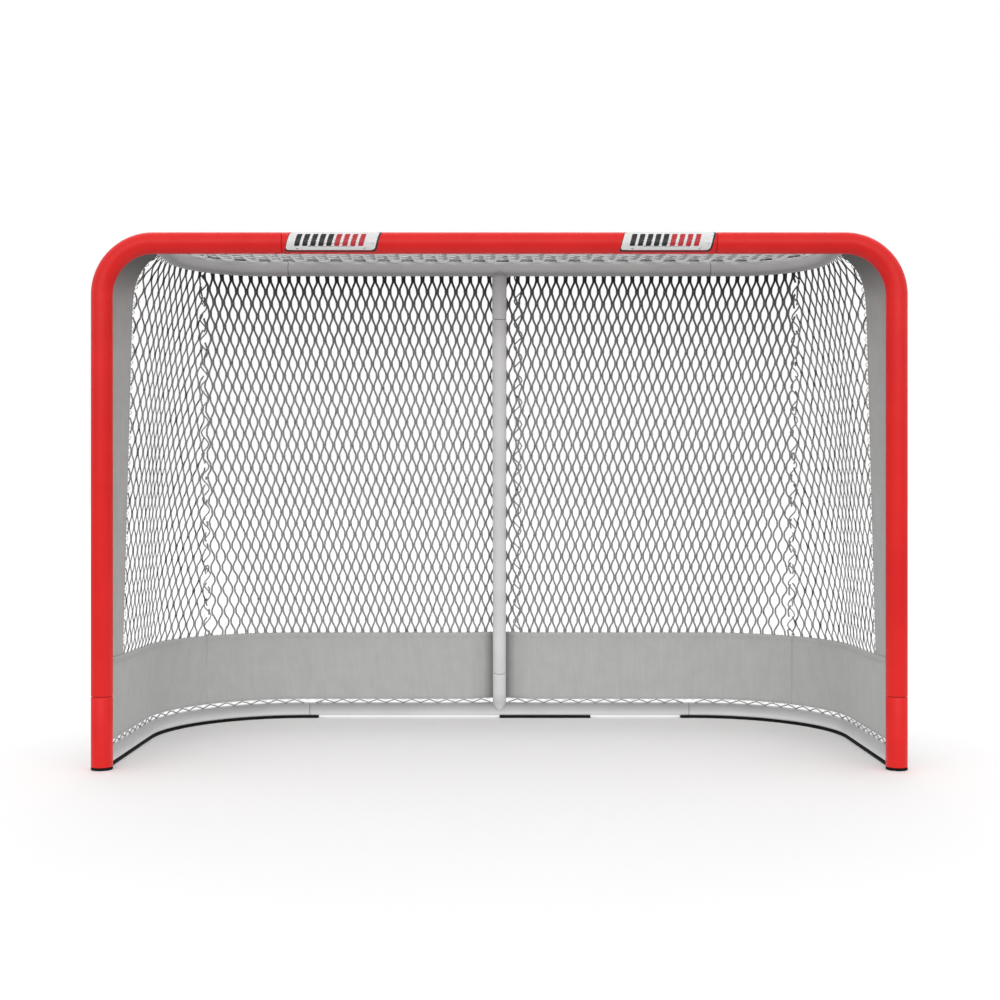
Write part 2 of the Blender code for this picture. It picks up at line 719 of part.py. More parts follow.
def make_skirts(carrier, canvas):
    """The canvas band above the base tube: two sides and a back, which meet at the corner seams."""
    heights = steps(SKIRT_BOTTOM_Z, SKIRT_TOP_Z, SKIRT_ROW_COUNT)
    corner_run = BASE_BEND_RADIUS * QUARTER_TURN
    near = SEAM_TURN - SEAT_GAP / 2 / corner_run
    far = SEAM_TURN + SEAT_GAP / 2 / corner_run
    turns = [-1] + steps(0, 1, SKIRT_SIDE_STEPS) + steps(1, near, SKIRT_CORNER_STEPS)[1:]
    for name, side in (("left", -1), ("right", 1)):
        rows = [[on_side(wall_point(t, z), side) for t in turns] for z in heights]
        sheet_object(f"{name}_skirt", rows, CANVAS_THICKNESS, canvas, carrier)
    half_back = POST_X - BASE_BEND_RADIUS
    drape = [3 - x / half_back for x in steps(DRAPE_END, DRAPE_FLAT, SKIRT_DRAPE_STEPS)]
    turns = steps(far, 2, SKIRT_CORNER_STEPS) + drape
    rows = []
    for z in heights:
        right = [wall_point(t, z) for t in turns]
        left = [on_side(p, -1) for p in reversed(right)]
        rows.append(right + left)
    sheet_object("back_skirt", rows, CANVAS_THICKNESS, canvas, carrier)


def make_flaps(carrier, canvas):
    """Canvas strips that close the net to the posts and follow the top bends."""
    end_angle = math.acos((SHELF_X + NET_STANDOFF - BEND_END_X) / TOP_BEND_RADIUS)
    angles = steps(0, end_angle, TOP_BEND_STEPS)
    heights = steps(SKIRT_TOP_Z + SEAT_GAP, BEND_START_Z, FLAP_ROW_COUNT)[:-1]
    heights += [BEND_START_Z + TOP_BEND_RADIUS * math.sin(a) for a in angles]
    turns = steps(-1, 0, FLAP_WIDTH_STEPS)
    for name, side in (("left", -1), ("right", 1)):
        rows = [[on_side(wall_point(t, z), side) for t in turns] for z in heights]
        sheet_object(f"{name}_post_flap", rows, CANVAS_THICKNESS, canvas, carrier)


# Netting


def cut_outside(bm, point, outward):
    """Cuts the flat mesh along a line and drops what lies on the outward side."""
    geometry = bm.verts[:] + bm.edges[:] + bm.faces[:]
    bmesh.ops.bisect_plane(
        bm, geom=geometry, dist=MERGE_DISTANCE, plane_co=point, plane_no=outward, clear_outer=True
    )


def crease(bm, point, along):
    """Lets the strands bend along a line."""
    geometry = bm.verts[:] + bm.edges[:] + bm.faces[:]
    across = along.cross(Z_AXIS)
    bmesh.ops.bisect_plane(
        bm, geom=geometry, dist=MERGE_DISTANCE, plane_co=point, plane_no=across
    )


def diamond_sheet(low, high, anchor, cell):
    """A flat sheet of diamonds that covers the box from low to high, with one centred on anchor."""
    bm = bmesh.new()
    half = (cell[0] / 2, cell[1] / 2)
    first = [math.floor((low[k] - anchor[k]) / half[k]) - 1 for k in range(2)]
    last = [math.ceil((high[k] - anchor[k]) / half[k]) + 1 for k in range(2)]
    corners = {}

    def corner(i, j):
        if (i, j) not in corners:
            corners[i, j] = bm.verts.new((anchor[0] + i * half[0], anchor[1] + j * half[1], 0))
        return corners[i, j]

    for i in range(first[0], last[0] + 1):
        for j in range(first[1], last[1] + 1):
            if (i + j) % 2 == 0:
                ends = ((i + 1, j), (i, j + 1), (i - 1, j), (i, j - 1))
                bm.faces.new([corner(*end) for end in ends])
    return bm


def open_diamonds(bm):
    """Opens each diamond that has room inside its strands. What is too small stays closed."""
    strand = STRAND_WIDTH / 2
    roomy = [f for f in bm.faces if 2 * f.calc_area() / f.calc_perimeter() > 2 * strand]
    bmesh.ops.inset_individual(bm, faces=roomy, thickness=strand, use_even_offset=True)
    bmesh.ops.delete(bm, geom=roomy, context="FACES")


def outward_of_wall(place, run, z):
    """Level, and square to the wall, so that the net's upper and lower edges stay level."""
    along = place(run + WALL_PROBE, z) - place(run - WALL_PROBE, z)
    return along.cross(Z_AXIS).normalized()


def gap_edge_verts(bm):
    """The points round the open gaps, which are all the border's points but the outline's."""
    border = {v for e in bm.edges if e.is_boundary for v in e.verts}
    reached = {min(border, key=lambda v: v.co.x)}
    front = list(reached)
    while front:
        edges = [e for v in front for e in v.link_edges if e.is_boundary]
        front = list({v for e in edges for v in e.verts} - reached)
        reached.update(front)
    return border - reached


def make_strands(bm):
    """Gives the flat strands a depth: a ridge along the middle on both sides, down to thin edges."""
    thin = bm.verts.layers.int.new("thin")
    for vert in gap_edge_verts(bm):
        vert[thin] = 1
    raised = bmesh.ops.extrude_face_region(bm, geom=bm.faces[:], use_keep_orig=True)
    upper = [v for v in raised["geom"] if isinstance(v, bmesh.types.BMVert)]
    bmesh.ops.translate(bm, verts=bm.verts[:], vec=(0, 0, -NET_THICKNESS / 2))
    bmesh.ops.translate(bm, verts=upper, vec=(0, 0, NET_THICKNESS))
    edges = [v for v in bm.verts if v[thin]]
    for vert in edges:
        vert.co.z = 0
    bmesh.ops.remove_doubles(bm, verts=edges, dist=MERGE_DISTANCE)


def net_object(name, bm, place, creases, cord, carrier):
    """Opens a flat sheet of diamonds, gives its strands a depth and lays it on the wall or level."""
    open_diamonds(bm)
    for point, along in creases:
        crease(bm, point, along)
    make_strands(bm)
    for vert in bm.verts:
        run, z, height = vert.co
        outward = outward_of_wall(place, run, z) if creases else Z_AXIS
        vert.co = place(run, z) + outward * height
    return mesh_object(name, bm, cord, carrier, smooth=False)


def make_wall_nets(carrier, cord):
    """Side and back panels. They meet at the corner seams, and right of the centre support."""
    low_z = SKIRT_TOP_Z + NET_HEM_GAP
    high_z = SHELF_Z
    cell = (DIAMOND_WIDTH, (high_z - low_z) / NET_ROWS)

    def seam_line(runs, share):
        """Where a share of the panel's part of the corner is passed, at its low and high edges."""
        (low_straight, low_corner), (high_straight, high_corner) = runs(low_z), runs(high_z)
        return low_straight + share * low_corner, high_straight + share * high_corner

    def slanted_line(runs, share, sign):
        low, high = seam_line(runs, share)
        along = Vector((sign * (high - low), high_z - low_z, 0))
        return Vector((sign * low, low_z, 0)), along

    def corner_creases(runs, sign):
        shares = steps(0, 1, SHELF_BEND_STEPS // 2)[:-1]
        return [slanted_line(runs, share, sign) for share in shares]

    def cut_heights(bm):
        cut_outside(bm, Vector((0, low_z, 0)), -Y_AXIS)
        cut_outside(bm, Vector((0, high_z, 0)), Y_AXIS)

    def cut_seam(bm, runs, sign):
        point, along = slanted_line(runs, 1, sign)
        cut_outside(bm, point - X_AXIS * sign * SEAT_GAP / 2, sign * along.cross(Z_AXIS))

    side_end = seam_line(side_runs, 1)[0]
    for name, side in (("left", -1), ("right", 1)):
        bm = diamond_sheet((0, low_z), (side_end, high_z), (0, low_z), cell)
        cut_heights(bm)
        cut_outside(bm, Vector((SEAT_GAP, 0, 0)), -X_AXIS)
        cut_seam(bm, side_runs, 1)
        creases = corner_creases(side_runs, 1)
        place = partial(side_net_point, side)
        net_object(f"{name}_side_net", bm, place, creases, cord, carrier)
    back_end = seam_line(back_runs, 1)[0]
    drape = (-DRAPE_END, -DRAPE_FLAT, DRAPE_FLAT, DRAPE_END)
    beside_support = [(X_AXIS * run, Y_AXIS) for run in drape]
    for name, side in (("left", -1), ("right", 1)):
        low, high = (-back_end, BACK_SEAM) if side < 0 else (BACK_SEAM, back_end)
        bm = diamond_sheet((low, low_z), (high, high_z), (0, low_z), cell)
        cut_heights(bm)
        cut_outside(bm, Vector((BACK_SEAM + side * SEAT_GAP / 2, 0, 0)), -side * X_AXIS)
        cut_seam(bm, back_runs, side)
        creases = corner_creases(back_runs, side) + beside_support
        net_object(f"{name}_back_net", bm, back_net_point, creases, cord, carrier)


def top_net_point(x, y):
    return Vector((x, y, TOP_NET_Z))


def make_top_net(carrier, cord):
    """The net over the shelf: tied behind the crossbar, and laid over the top of the shelf tube."""
    lower_edge_room = NET_THICKNESS / 2 * math.tan(TOP_HEM_ANGLE)
    front = HEM_REACH * math.cos(TOP_HEM_ANGLE) + lower_edge_room
    low, high = (-SHELF_X, front), (SHELF_X, SHELF_DEPTH)
    middle = (0, (front + SHELF_DEPTH) / 2)
    bm = diamond_sheet(low, high, middle, (TOP_DIAMOND_LENGTH, TOP_DIAMOND_WIDTH))
    cut_outside(bm, Vector((0, front, 0)), -Y_AXIS)
    for side in (-1, 1):
        centre = Vector((side * (SHELF_X - SHELF_BEND_RADIUS), SHELF_DEPTH - SHELF_BEND_RADIUS, 0))
        for a in steps(0, QUARTER_TURN, TOP_NET_CORNER_STEPS):
            outward = Vector((side * math.cos(a), math.sin(a), 0))
            cut_outside(bm, centre + outward * SHELF_BEND_RADIUS, outward)
    net_object("top_net", bm, top_net_point, [], cord, carrier)


def build():
    clear_scene()
    carrier = bpy.data.objects.new("goal", None)
    bpy.context.scene.collection.objects.link(carrier)
    carrier.location = (0, FRAME_Y, 0)
    looks = {name: make_material(name, *values) for name, values in LOOKS.items()}
    red, white, rubber, wire, steel, canvas, cord = looks.values()
    front = make_front_frame(carrier, red)
    cutter = make_frame_cutter(carrier, red)
    rear = make_rear_corners(carrier, white, cutter)
    base_stub = -SUPPORT_DOWN * BASE_STUB_LENGTH
    shelf_stub = SUPPORT_DOWN * SHELF_STUB_LENGTH
    tees = {
        "base": make_tee("base_centre_tee", SUPPORT_FOOT, base_stub, carrier, white),
        "shelf": make_tee("shelf_centre_tee", SUPPORT_TOP, shelf_stub, carrier, white),
    }
    make_centre_support(carrier, white)
    make_bolts(front, rear, tees, carrier, steel)
    make_feet(carrier, rubber)
    make_pads(carrier, rubber)
    for name, side in (("left", -1), ("right", 1)):
        make_post_rods(name, side, carrier, wire)
        make_base_rods(name, side, carrier, wire)
    make_crossbar_rods(carrier, wire)
    make_skirts(carrier, canvas)
    make_flaps(carrier, canvas)
    make_wall_nets(carrier, cord)
    make_top_net(carrier, cord)


build()
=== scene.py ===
"""Knock-down ice hockey goal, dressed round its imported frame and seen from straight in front."""

import math

import bmesh
import bpy
import numpy as np
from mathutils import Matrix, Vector, noise


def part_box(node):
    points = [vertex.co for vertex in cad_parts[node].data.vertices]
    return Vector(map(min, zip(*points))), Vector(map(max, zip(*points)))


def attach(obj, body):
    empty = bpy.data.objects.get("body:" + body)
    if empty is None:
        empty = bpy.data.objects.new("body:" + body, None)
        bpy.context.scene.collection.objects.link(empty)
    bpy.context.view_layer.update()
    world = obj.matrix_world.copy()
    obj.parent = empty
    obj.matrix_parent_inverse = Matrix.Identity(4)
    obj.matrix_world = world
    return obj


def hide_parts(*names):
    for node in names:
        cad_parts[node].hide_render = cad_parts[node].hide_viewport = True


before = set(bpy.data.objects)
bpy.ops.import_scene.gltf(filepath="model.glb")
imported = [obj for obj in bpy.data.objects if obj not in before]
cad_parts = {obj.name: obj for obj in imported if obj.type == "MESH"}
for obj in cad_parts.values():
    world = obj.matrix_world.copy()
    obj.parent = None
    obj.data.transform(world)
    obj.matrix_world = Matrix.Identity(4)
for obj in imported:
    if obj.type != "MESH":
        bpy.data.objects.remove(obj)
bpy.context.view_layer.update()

# Camera: level, 0.64 m above the floor and 3.4 m in front of the posts, square to the mouth, with a
# lens a little longer than normal, as the photograph's perspective asks.


def bring_in(name, data):
    made = bpy.data.objects.new(name, data)
    bpy.context.scene.collection.objects.link(made)
    return made


camera = bring_in("photo_camera", bpy.data.cameras.new("photo_camera"))
camera.data.lens = 51.75
camera.data.sensor_width = 36
camera.location = (0.0017, -3.8033, 0.637)
camera.rotation_euler = (math.radians(90), 0, 0)
bpy.context.scene.camera = camera

# Studio: a pale floor in a softly lit white room, with very broad soft lights in front and behind. The
# floor sends a pool of even light up to the goal, and the camera sees its soft shadows on it.
bpy.context.scene.view_settings.view_transform = "Standard"
white = (1.0, 1.0, 1.0, 1.0)


def add(tree, kind, *terms, **named):
    """Adds a node. Terms and Capitalised names feed its inputs, and the other names set it up."""
    made = tree.nodes.new(kind)
    fed = dict(enumerate(terms))
    for key, value in named.items():
        if key[0].isupper():
            fed[key.replace("_", " ")] = value
        else:
            setattr(made, key, value)
    for key, value in fed.items():
        if isinstance(value, bpy.types.NodeSocket):
            tree.links.new(value, made.inputs[key])
        else:
            made.inputs[key].default_value = value
    return made


def result(tree, kind, *terms, **named):
    """Adds a node and gives its first output."""
    return add(tree, kind, *terms, **named).outputs[0]


def ranged(tree, value, start, end, low=0.0, high=1.0, **settings):
    """Runs from low to high while the value runs from start to end."""
    limits = {"From_Min": start, "From_Max": end, "To_Min": low, "To_Max": high}
    return result(tree, "ShaderNodeMapRange", Value=value, **limits, **settings)


def place_on(tree, kind="Object"):
    """Where a spot lies on its piece, in metres, or on its flat map when kind is UV."""
    return add(tree, "ShaderNodeTexCoord").outputs[kind]


def look(tree, socket):
    """One input of a material's shader, such as its Roughness."""
    return tree.nodes["Principled BSDF"].inputs[socket]


def finish_material(name, looks):
    """A material with some of its shader's inputs set, and its node tree."""
    material = bpy.data.materials.new(name)
    material.use_nodes = True
    for socket, value in looks.items():
        look(material.node_tree, socket).default_value = value
    return material, material.node_tree


room = bpy.data.worlds.new("white_room")
room.use_nodes = True
bpy.context.scene.world = room
room_light = room.node_tree.nodes["Background"]
room_light.inputs["Color"].default_value = white
seen = add(room.node_tree, "ShaderNodeLightPath").outputs["Is Camera Ray"]
room.node_tree.links.new(ranged(room.node_tree, seen, 0.0, 1.0, 0.92), room_light.inputs["Strength"])

floor_mesh = bpy.data.meshes.new("studio_floor")
floor_mesh.from_pydata([(-90, -60, 0), (90, -60, 0), (90, 120, 0), (-90, 120, 0)], [], [(0, 1, 2, 3)])
floor = bring_in("studio_floor", floor_mesh)
matt_white = {"Base Color": white, "Roughness": 1.0, "Specular IOR Level": 0.0}
floor_paint, paint = finish_material("pale_floor", matt_white)
away = add(paint, "ShaderNodeVectorMath", place_on(paint), operation="LENGTH").outputs["Value"]
glow = result(paint, "ShaderNodeEmission", Strength=ranged(paint, away, 0.8, 3.5, 0.74, 0.38))
seen = add(paint, "ShaderNodeLightPath").outputs["Is Camera Ray"]
painted = paint.nodes["Principled BSDF"].outputs[0]
pale = result(paint, "ShaderNodeMixShader", seen, glow, painted)
paint.links.new(pale, paint.nodes["Material Output"].inputs["Surface"])
floor_mesh.materials.append(floor_paint)

for name, energy, tilt in (("broad_front_light", 0.98, 86), ("broad_back_light", 0.80, -60)):
    light = bring_in(name, bpy.data.lights.new(name, "SUN"))
    light.data.energy = energy
    light.data.angle = math.radians(60)
    light.rotation_euler = (math.radians(tilt), 0, 0)

# Front frame: 2 inch steel tube in gloss red powder coat. On each side a bent corner joins a short
# lower post to the straight crossbar, by drawn-in ends that slip inside the other two.
X, Y, Z = Vector((1, 0, 0)), Vector((0, 1, 0)), Vector((0, 0, 1))
both_sides = (("left", -1), ("right", 1))
post_low, post_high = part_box("right_lower_post")
bar_low, bar_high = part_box("crossbar")
front_radius = (bar_high.z - bar_low.z) / 2
front_wall = 0.002
post_x = (post_low.x + post_high.x) / 2
front_y = (post_low.y + post_high.y) / 2
bar_z = (bar_low.z + bar_high.z) / 2
post_seam, bar_seam = post_high.z, bar_high.x
top_bend = 0.1225
bend_start_z = bar_z - top_bend
bend_end_x = post_x - top_bend
spigot_length, slip_room = 0.060, 0.0003
worn_edge = ((0.0019, 0.0), (0.0007, 0.0004), (0.0002, 0.0010), (0.0, 0.0016))
spigot_rings = len(worn_edge) + 3
tube_sides = 48


def mottle(tree, scale, detail, **more):
    """A random pattern of blotches over the piece, in metres."""
    return result(tree, "ShaderNodeTexNoise", Vector=place_on(tree), Scale=scale, Detail=detail, **more)


def tint(tree, pattern, low, high, span=(0.35, 0.65)):
    """Lets a pattern run the base colour from one shade to another."""
    ramp = add(tree, "ShaderNodeValToRGB", Fac=pattern)
    for stop, at, shade in zip(ramp.color_ramp.elements, span, (low, high)):
        stop.position = at
        stop.color = (*shade, 1)
    tree.links.new(ramp.outputs["Color"], look(tree, "Base Color"))


def relief(tree, height, distance, strength):
    bump = add(tree, "ShaderNodeBump", Height=height, Distance=distance, Strength=strength)
    tree.links.new(bump.outputs["Normal"], look(tree, "Normal"))
    return bump


def powder_coat(name, low, high, roughness, gloss):
    """Powder coat on steel: a faint orange peel, a slow drift of colour and small dull patches."""
    material, tree = finish_material(name, {"Specular IOR Level": gloss})
    tint(tree, mottle(tree, 7.0, 3.0), low, high)
    dull = ranged(tree, mottle(tree, 60.0, 5.0), 0.3, 0.7, roughness - 0.06, roughness + 0.09)
    tree.links.new(dull, look(tree, "Roughness"))
    relief(tree, mottle(tree, 520.0, 2.0), 0.00012, 0.35)
    return material


red_coat = powder_coat("red_powder_coat", (0.77, 0.011, 0.010), (0.83, 0.015, 0.013), 0.40, 0.3)
# The drawn-in ends are near black: partly bare steel, partly painted shade for the slit in each seam.
bare_steel_seam_shade = powder_coat("bare_steel_seam_shade", (0.012, 0.012, 0.012), (0.03, 0.03, 0.03), 0.45, 0.3)


def bent_path(start, corner, end, radius, steps):
    """Stations (point, direction) of a tube bent once, from start by way of the corner to end."""
    first, last = (corner - start).normalized(), (end - corner).normalized()
    turn = first.angle(last)
    bend_start = corner - first * radius * math.tan(turn / 2)
    inward = (last - first * first.dot(last)).normalized()
    centre = bend_start + inward * radius
    stations = [(start, first)]
    for i in range(steps + 1):
        a = turn * i / steps
        point = centre - radius * math.cos(a) * inward + radius * math.sin(a) * first
        stations.append((point, math.cos(a) * first + math.sin(a) * inward))
    return stations + [(end, last)]


def ring(centre, way, up, radius, sides=tube_sides):
    across = way.cross(up).normalized()
    turns = [2 * math.pi * i / sides for i in range(sides)]
    return [centre + radius * (math.cos(a) * across + math.sin(a) * up) for a in turns]


def skin(rings, capped=False, bm=None):
    """Joins rings of points into one closed shell. Uncapped, the last ring meets the first."""
    if bm is None:
        bm = bmesh.new()
    loops = [[bm.verts.new(p) for p in points] for points in rings]
    pairs = list(zip(loops, loops[1:]))
    if capped:
        bm.faces.new(loops[0])
        bm.faces.new(loops[-1])
    else:
        pairs.append((loops[-1], loops[0]))
    for low, high in pairs:
        for i in range(len(low)):
            j = (i + 1) % len(low)
            bm.faces.new((low[i], low[j], high[j], high[i]))
    return bm


def fit(piece, nodes):
    """Fixes a finished piece to the goal, where it stands for the CAD nodes it is named with."""
    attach(piece, "root")
    if nodes:
        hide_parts(*nodes)
    return piece


def settle(name, bm, material, slot, *nodes):
    """Turns a bmesh into a piece on the goal."""
    bmesh.ops.recalc_face_normals(bm, faces=bm.faces[:])
    if bm.calc_volume(signed=True) < 0:
        bmesh.ops.reverse_faces(bm, faces=bm.faces[:])
    mesh = bpy.data.meshes.new(name)
    bm.to_mesh(mesh)
    bm.free()
    mesh.shade_smooth()
    mesh.set_sharp_from_angle(angle=math.radians(35))
    mesh.materials.append(material)
    return fit(bring_in(name, mesh), nodes)


def tube_end(kind, radius, wall):
    """(distance past the end, radius) of the rings at a tube's end, outside and then inside."""
    bore = radius - wall
    gap = 0.0003 if kind == "plain" else 0.0007
    outside = [(-gap - back, radius - less) for back, less in worn_edge]
    if kind == "plain":
        return outside, [(-gap, bore)]
    spigot = bore - slip_room
    outside += [(-gap, spigot), (spigot_length - 0.001, spigot), (spigot_length, spigot - 0.0008)]
    return outside, [(-0.004, bore), (-0.002, spigot - wall), (spigot_length, spigot - wall)]


def tube_rings(stations, up, radius, wall, start="plain", end="plain"):
    """Rings of a hollow tube: down its outside, and back up its bore."""
    (first, first_way), (last, last_way) = stations[0], stations[-1]
    layers = []
    starts, ends = tube_end(start, radius, wall), tube_end(end, radius, wall)
    for at_start, at_end, middle in zip(starts, ends, (radius, radius - wall)):
        layer = [(first - first_way * d, first_way, r) for d, r in reversed(at_start)]
        layer += [(p, way, middle) for p, way in stations[1:-1]]
        layers.append(layer + [(last + last_way * d, last_way, r) for d, r in at_end])
    outside, bore = layers
    return [ring(p, way, up, r) for p, way, r in outside + bore[::-1]]


def red_tube(node, stations, *ends):
    rings = tube_rings(stations, Y, front_radius, front_wall, *ends)
    return settle(f"{node}_tube", skin(rings), red_coat, "red_paint", node)


def bare_steel_shade_ends(piece, stations, both=True):
    """Drawn-in ends stay bare, oiled steel, near black as painted shade for the slit, which shows as a
    dark line inside the seam.

    Their bands are the first three and the last three down the tube's outside.
    """
    piece.data.materials.append(bare_steel_seam_shade)
    outside = stations - 2 + spigot_rings + (spigot_rings if both else 1)
    bands = [outside - 4, outside - 3, outside - 2] + ([0, 1, 2] if both else [])
    for face in piece.data.polygons:
        if face.index // tube_sides in bands:
            face.material_index = 1


def flipped(point, side):
    return Vector((point.x * side, point.y, point.z))


def mirrored(path, side):
    return [(flipped(point, side), flipped(way, side)) for point, way in path]


post_path = [(Vector((post_x, front_y, z)), Z) for z in (post_low.z, post_seam)]
corner = [Vector((x, front_y, z)) for x, z in ((post_x, post_seam), (post_x, bar_z), (bar_seam, bar_z))]
corner_path = bent_path(*corner, top_bend, 28)
for name, side in both_sides:
    red_tube(f"{name}_lower_post", mirrored(post_path, side))
    piece = red_tube(f"{name}_top_corner", mirrored(corner_path, side), "spigot", "spigot")
    bare_steel_shade_ends(piece, len(corner_path))
red_tube("crossbar", [(Vector((x, front_y, bar_z)), X) for x in (-bar_seam, bar_seam)])

# Stickers: two slanted vinyl plates wrapped on the front of the crossbar, white with a black rim, and
# carrying plain slanted bars of black and red.
sticker_low, sticker_high = math.radians(-62) * front_radius, math.radians(74) * front_radius
sticker_slant, rim_width, band_width = 0.26, 0.0030, 0.0062
bar_width, bar_pitch, bar_start = 0.0125, 0.0188, 0.024
bar_below, bar_above = 0.0165, 0.0125


def sticker_finish(name, colour):
    """Printed vinyl: near flat colour with the faint unevenness of ink under a clear film."""
    material, tree = finish_material(name, {"Roughness": 0.38})
    tint(tree, mottle(tree, 180.0, 4.0), [c * 0.88 for c in colour], colour)
    return material


def wrapped(name, outline, lift, thick, material):
    """A flat outline (along the bar, round the bar) wrapped on the crossbar as a thin solid."""
    bm = bmesh.new()
    count = len(outline)
    middle_x, middle_s = (sum(values) / count for values in zip(*outline))
    sheets = []
    for radius in (front_radius + lift, front_radius + lift + thick):
        rows = []
        for share in (0, 0.25, 0.5, 0.75, 1.0):
            row = []
            for x, s in outline if share else outline[:1]:
                a = (middle_s + (s - middle_s) * share) / front_radius
                y, z = front_y - radius * math.cos(a), bar_z + radius * math.sin(a)
                row.append(bm.verts.new((middle_x + (x - middle_x) * share, y, z)))
            rows.append(row)
        sheets.append(rows)
    neighbours = [(i, (i + 1) % count) for i in range(count)]
    for rows, turn in zip(sheets, (1, -1)):
        for i, j in neighbours:
            bm.faces.new((rows[0][0], rows[1][i], rows[1][j])[::turn])
            for low, high in zip(rows[1:], rows[2:]):
                bm.faces.new((low[i], high[i], high[j], low[j])[::turn])
    bottom, top = sheets[0][-1], sheets[1][-1]
    for i, j in neighbours:
        bm.faces.new((bottom[i], bottom[j], top[j], top[i]))
    return settle(name, bm, material, "red_paint")


def plate_outline(left, right, low, high, corner):
    """A slanted plate with rounded corners, as points along and round the bar."""
    centres = [(right - corner, high - corner), (left + corner, high - corner)]
    centres += [(left + corner, low + corner), (right - corner, low + corner)]
    points = []
    for quarter, (x, s) in enumerate(centres):
        for step in range(7):
            a = math.radians(90 * quarter + 15 * step)
            points.append((x + corner * math.cos(a), s + corner * math.sin(a)))
    dense = []
    for (x0, s0), (x1, s1) in zip(points, points[1:] + points[:1]):
        parts = max(1, round(math.hypot(x1 - x0, s1 - s0) / 0.006))
        dense += [(x0 + (x1 - x0) * i / parts, s0 + (s1 - s0) * i / parts) for i in range(parts)]
    return [(x + sticker_slant * (s - low), s) for x, s in dense]


white_vinyl = sticker_finish("white_vinyl", (0.86, 0.86, 0.86))
black_vinyl = sticker_finish("black_vinyl", (0.012, 0.012, 0.013))
red_vinyl = sticker_finish("red_vinyl", (0.55, 0.02, 0.03))
for name, left, right in (("left", -0.5065, -0.2905), ("right", 0.2815, 0.4975)):
    rim = plate_outline(left, right, sticker_low, sticker_high, 0.009)
    wrapped(f"{name}_sticker_rim", rim, 0.0001, 0.00015, black_vinyl)
    face_low, face_high = sticker_low + band_width, sticker_high - rim_width
    face = plate_outline(left + rim_width, right - rim_width, face_low, face_high, 0.0075)
    wrapped(f"{name}_sticker_face", face, 0.0003, 0.0001, white_vinyl)
    for number in range(9):
        x = left + bar_start + bar_pitch * number
        bar = plate_outline(x, x + bar_width, sticker_low + bar_below, sticker_high - bar_above, 0.0025)
        ink = black_vinyl if number < 5 else red_vinyl
        wrapped(f"{name}_sticker_bar_{number + 1}", bar, 0.00045, 0.0001, ink)

# Base and top shelf: 1.5 inch steel tube in satin white powder coat. Each has two bent corners,
# coped and welded to the red frame, and a straight middle with a stub for the slanted support.
rear_radius, rear_wall = 0.01905, 0.0018
rear_z = 0.0254
base_depth, base_bend = 0.813, 0.380
shelf_depth, shelf_bend = 0.381, 0.200
shelf_x = post_x - 0.1248
rear_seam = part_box("base_centre_tee")[1].x
bead_lift = 0.0009
inner_half_width, inner_depth = 0.56, 0.18
# Painted shade for the white tubes' inner sides, as (height in metres, share of colour): darker towards
# the top of the base tube and along the shelf tube.
base_shade = [(0.0, 1.0), (0.014, 1.0), (0.0186, 0.91), (0.0215, 0.81), (0.0245, 0.74)]
base_shade += [(0.030, 0.65), (0.036, 0.58), (0.044, 0.54), (0.075, 1.0)]
shelf_shade = [(1.05, 1.0), (1.09, 0.91), (1.147, 0.82), (1.177, 0.75), (1.222, 0.68), (1.2285, 0.38)]
shelf_shade += [(1.234, 0.62), (1.237, 0.78), (1.2445, 0.85), (1.2577, 0.90), (1.27, 0.83)]


def numbers(tree, operation, *terms):
    return result(tree, "ShaderNodeMath", *terms, operation=operation)


def vectors(tree, operation, *terms, **more):
    return result(tree, "ShaderNodeVectorMath", *terms, operation=operation, **more)


def shaded_by(tree, share):
    colour = look(tree, "Base Color")
    tree.links.new(vectors(tree, "MULTIPLY", colour.links[0].from_socket, share), colour)


def paint_inner_shade(material, axis, stops):
    """Paints shade into the colour of the side that faces into the goal, by stops of (metres from the
    origin, share of colour).
    """
    tree = material.node_tree
    apart = add(tree, "ShaderNodeSeparateXYZ", Vector=place_on(tree)).outputs[axis]
    apart = numbers(tree, "ABSOLUTE", apart)
    low, high = stops[0][0], stops[-1][0]
    ramp = add(tree, "ShaderNodeValToRGB", Fac=ranged(tree, apart, low, high))
    for at, _ in stops[1:-1]:
        ramp.color_ramp.elements.new((at - low) / (high - low))
    for stop, (_, share) in zip(ramp.color_ramp.elements, stops):
        stop.color = (share, share, share, 1)
    less = vectors(tree, "SUBTRACT", ramp.outputs["Color"], (1, 1, 1))
    inside = add(tree, "ShaderNodeAttribute", attribute_name="inside").outputs["Fac"]
    shaded_by(tree, vectors(tree, "MULTIPLY_ADD", less, inside, (1, 1, 1)))


def carry(mesh, name, values, kind="FLOAT"):
    """Gives each point of a mesh a value, or a way, under a name."""
    field = "value" if kind == "FLOAT" else "vector"
    mesh.attributes.new(name, kind, "POINT").data.foreach_set(field, values)


def mark_painted_shade_side(piece, at_sides=0.55):
    """Marks how far each spot faces into the goal, where shelf and canvas shade it, as the share of
    painted shade its colour takes.
    """
    mesh = piece.data
    places, ways = np.empty((2, len(mesh.vertices), 3), np.float32)
    mesh.vertices.foreach_get("co", places.ravel())
    mesh.vertex_normals.foreach_get("vector", ways.ravel())
    middle_x = places[:, 0].clip(-inner_half_width, inner_half_width)
    middle_y = places[:, 1].clip(None, front_y + inner_depth)
    inward = np.stack((middle_x, middle_y), axis=1) - places[:, :2]
    facing = (inward * ways[:, :2]).sum(axis=1) / np.linalg.norm(inward, axis=1).clip(1e-6)
    aside = ((np.abs(places[:, 0]) - 0.72) / 0.2).clip(0, 1) * (1 - at_sides)
    carry(mesh, "inside", ((facing + 0.35) / 0.5).clip(0, 1) * (1 - aside))
    return piece


white_coat = powder_coat("white_powder_coat", (0.70, 0.70, 0.705), (0.76, 0.76, 0.765), 0.45, 0.35)
# The white coat takes this painted shade on the sides that face into the goal.
paint_inner_shade(white_coat, "Z", base_shade + shelf_shade)


def white_tube(node, bm):
    return mark_painted_shade_side(settle(f"{node}_tube", bm, white_coat, "white_paint", node))


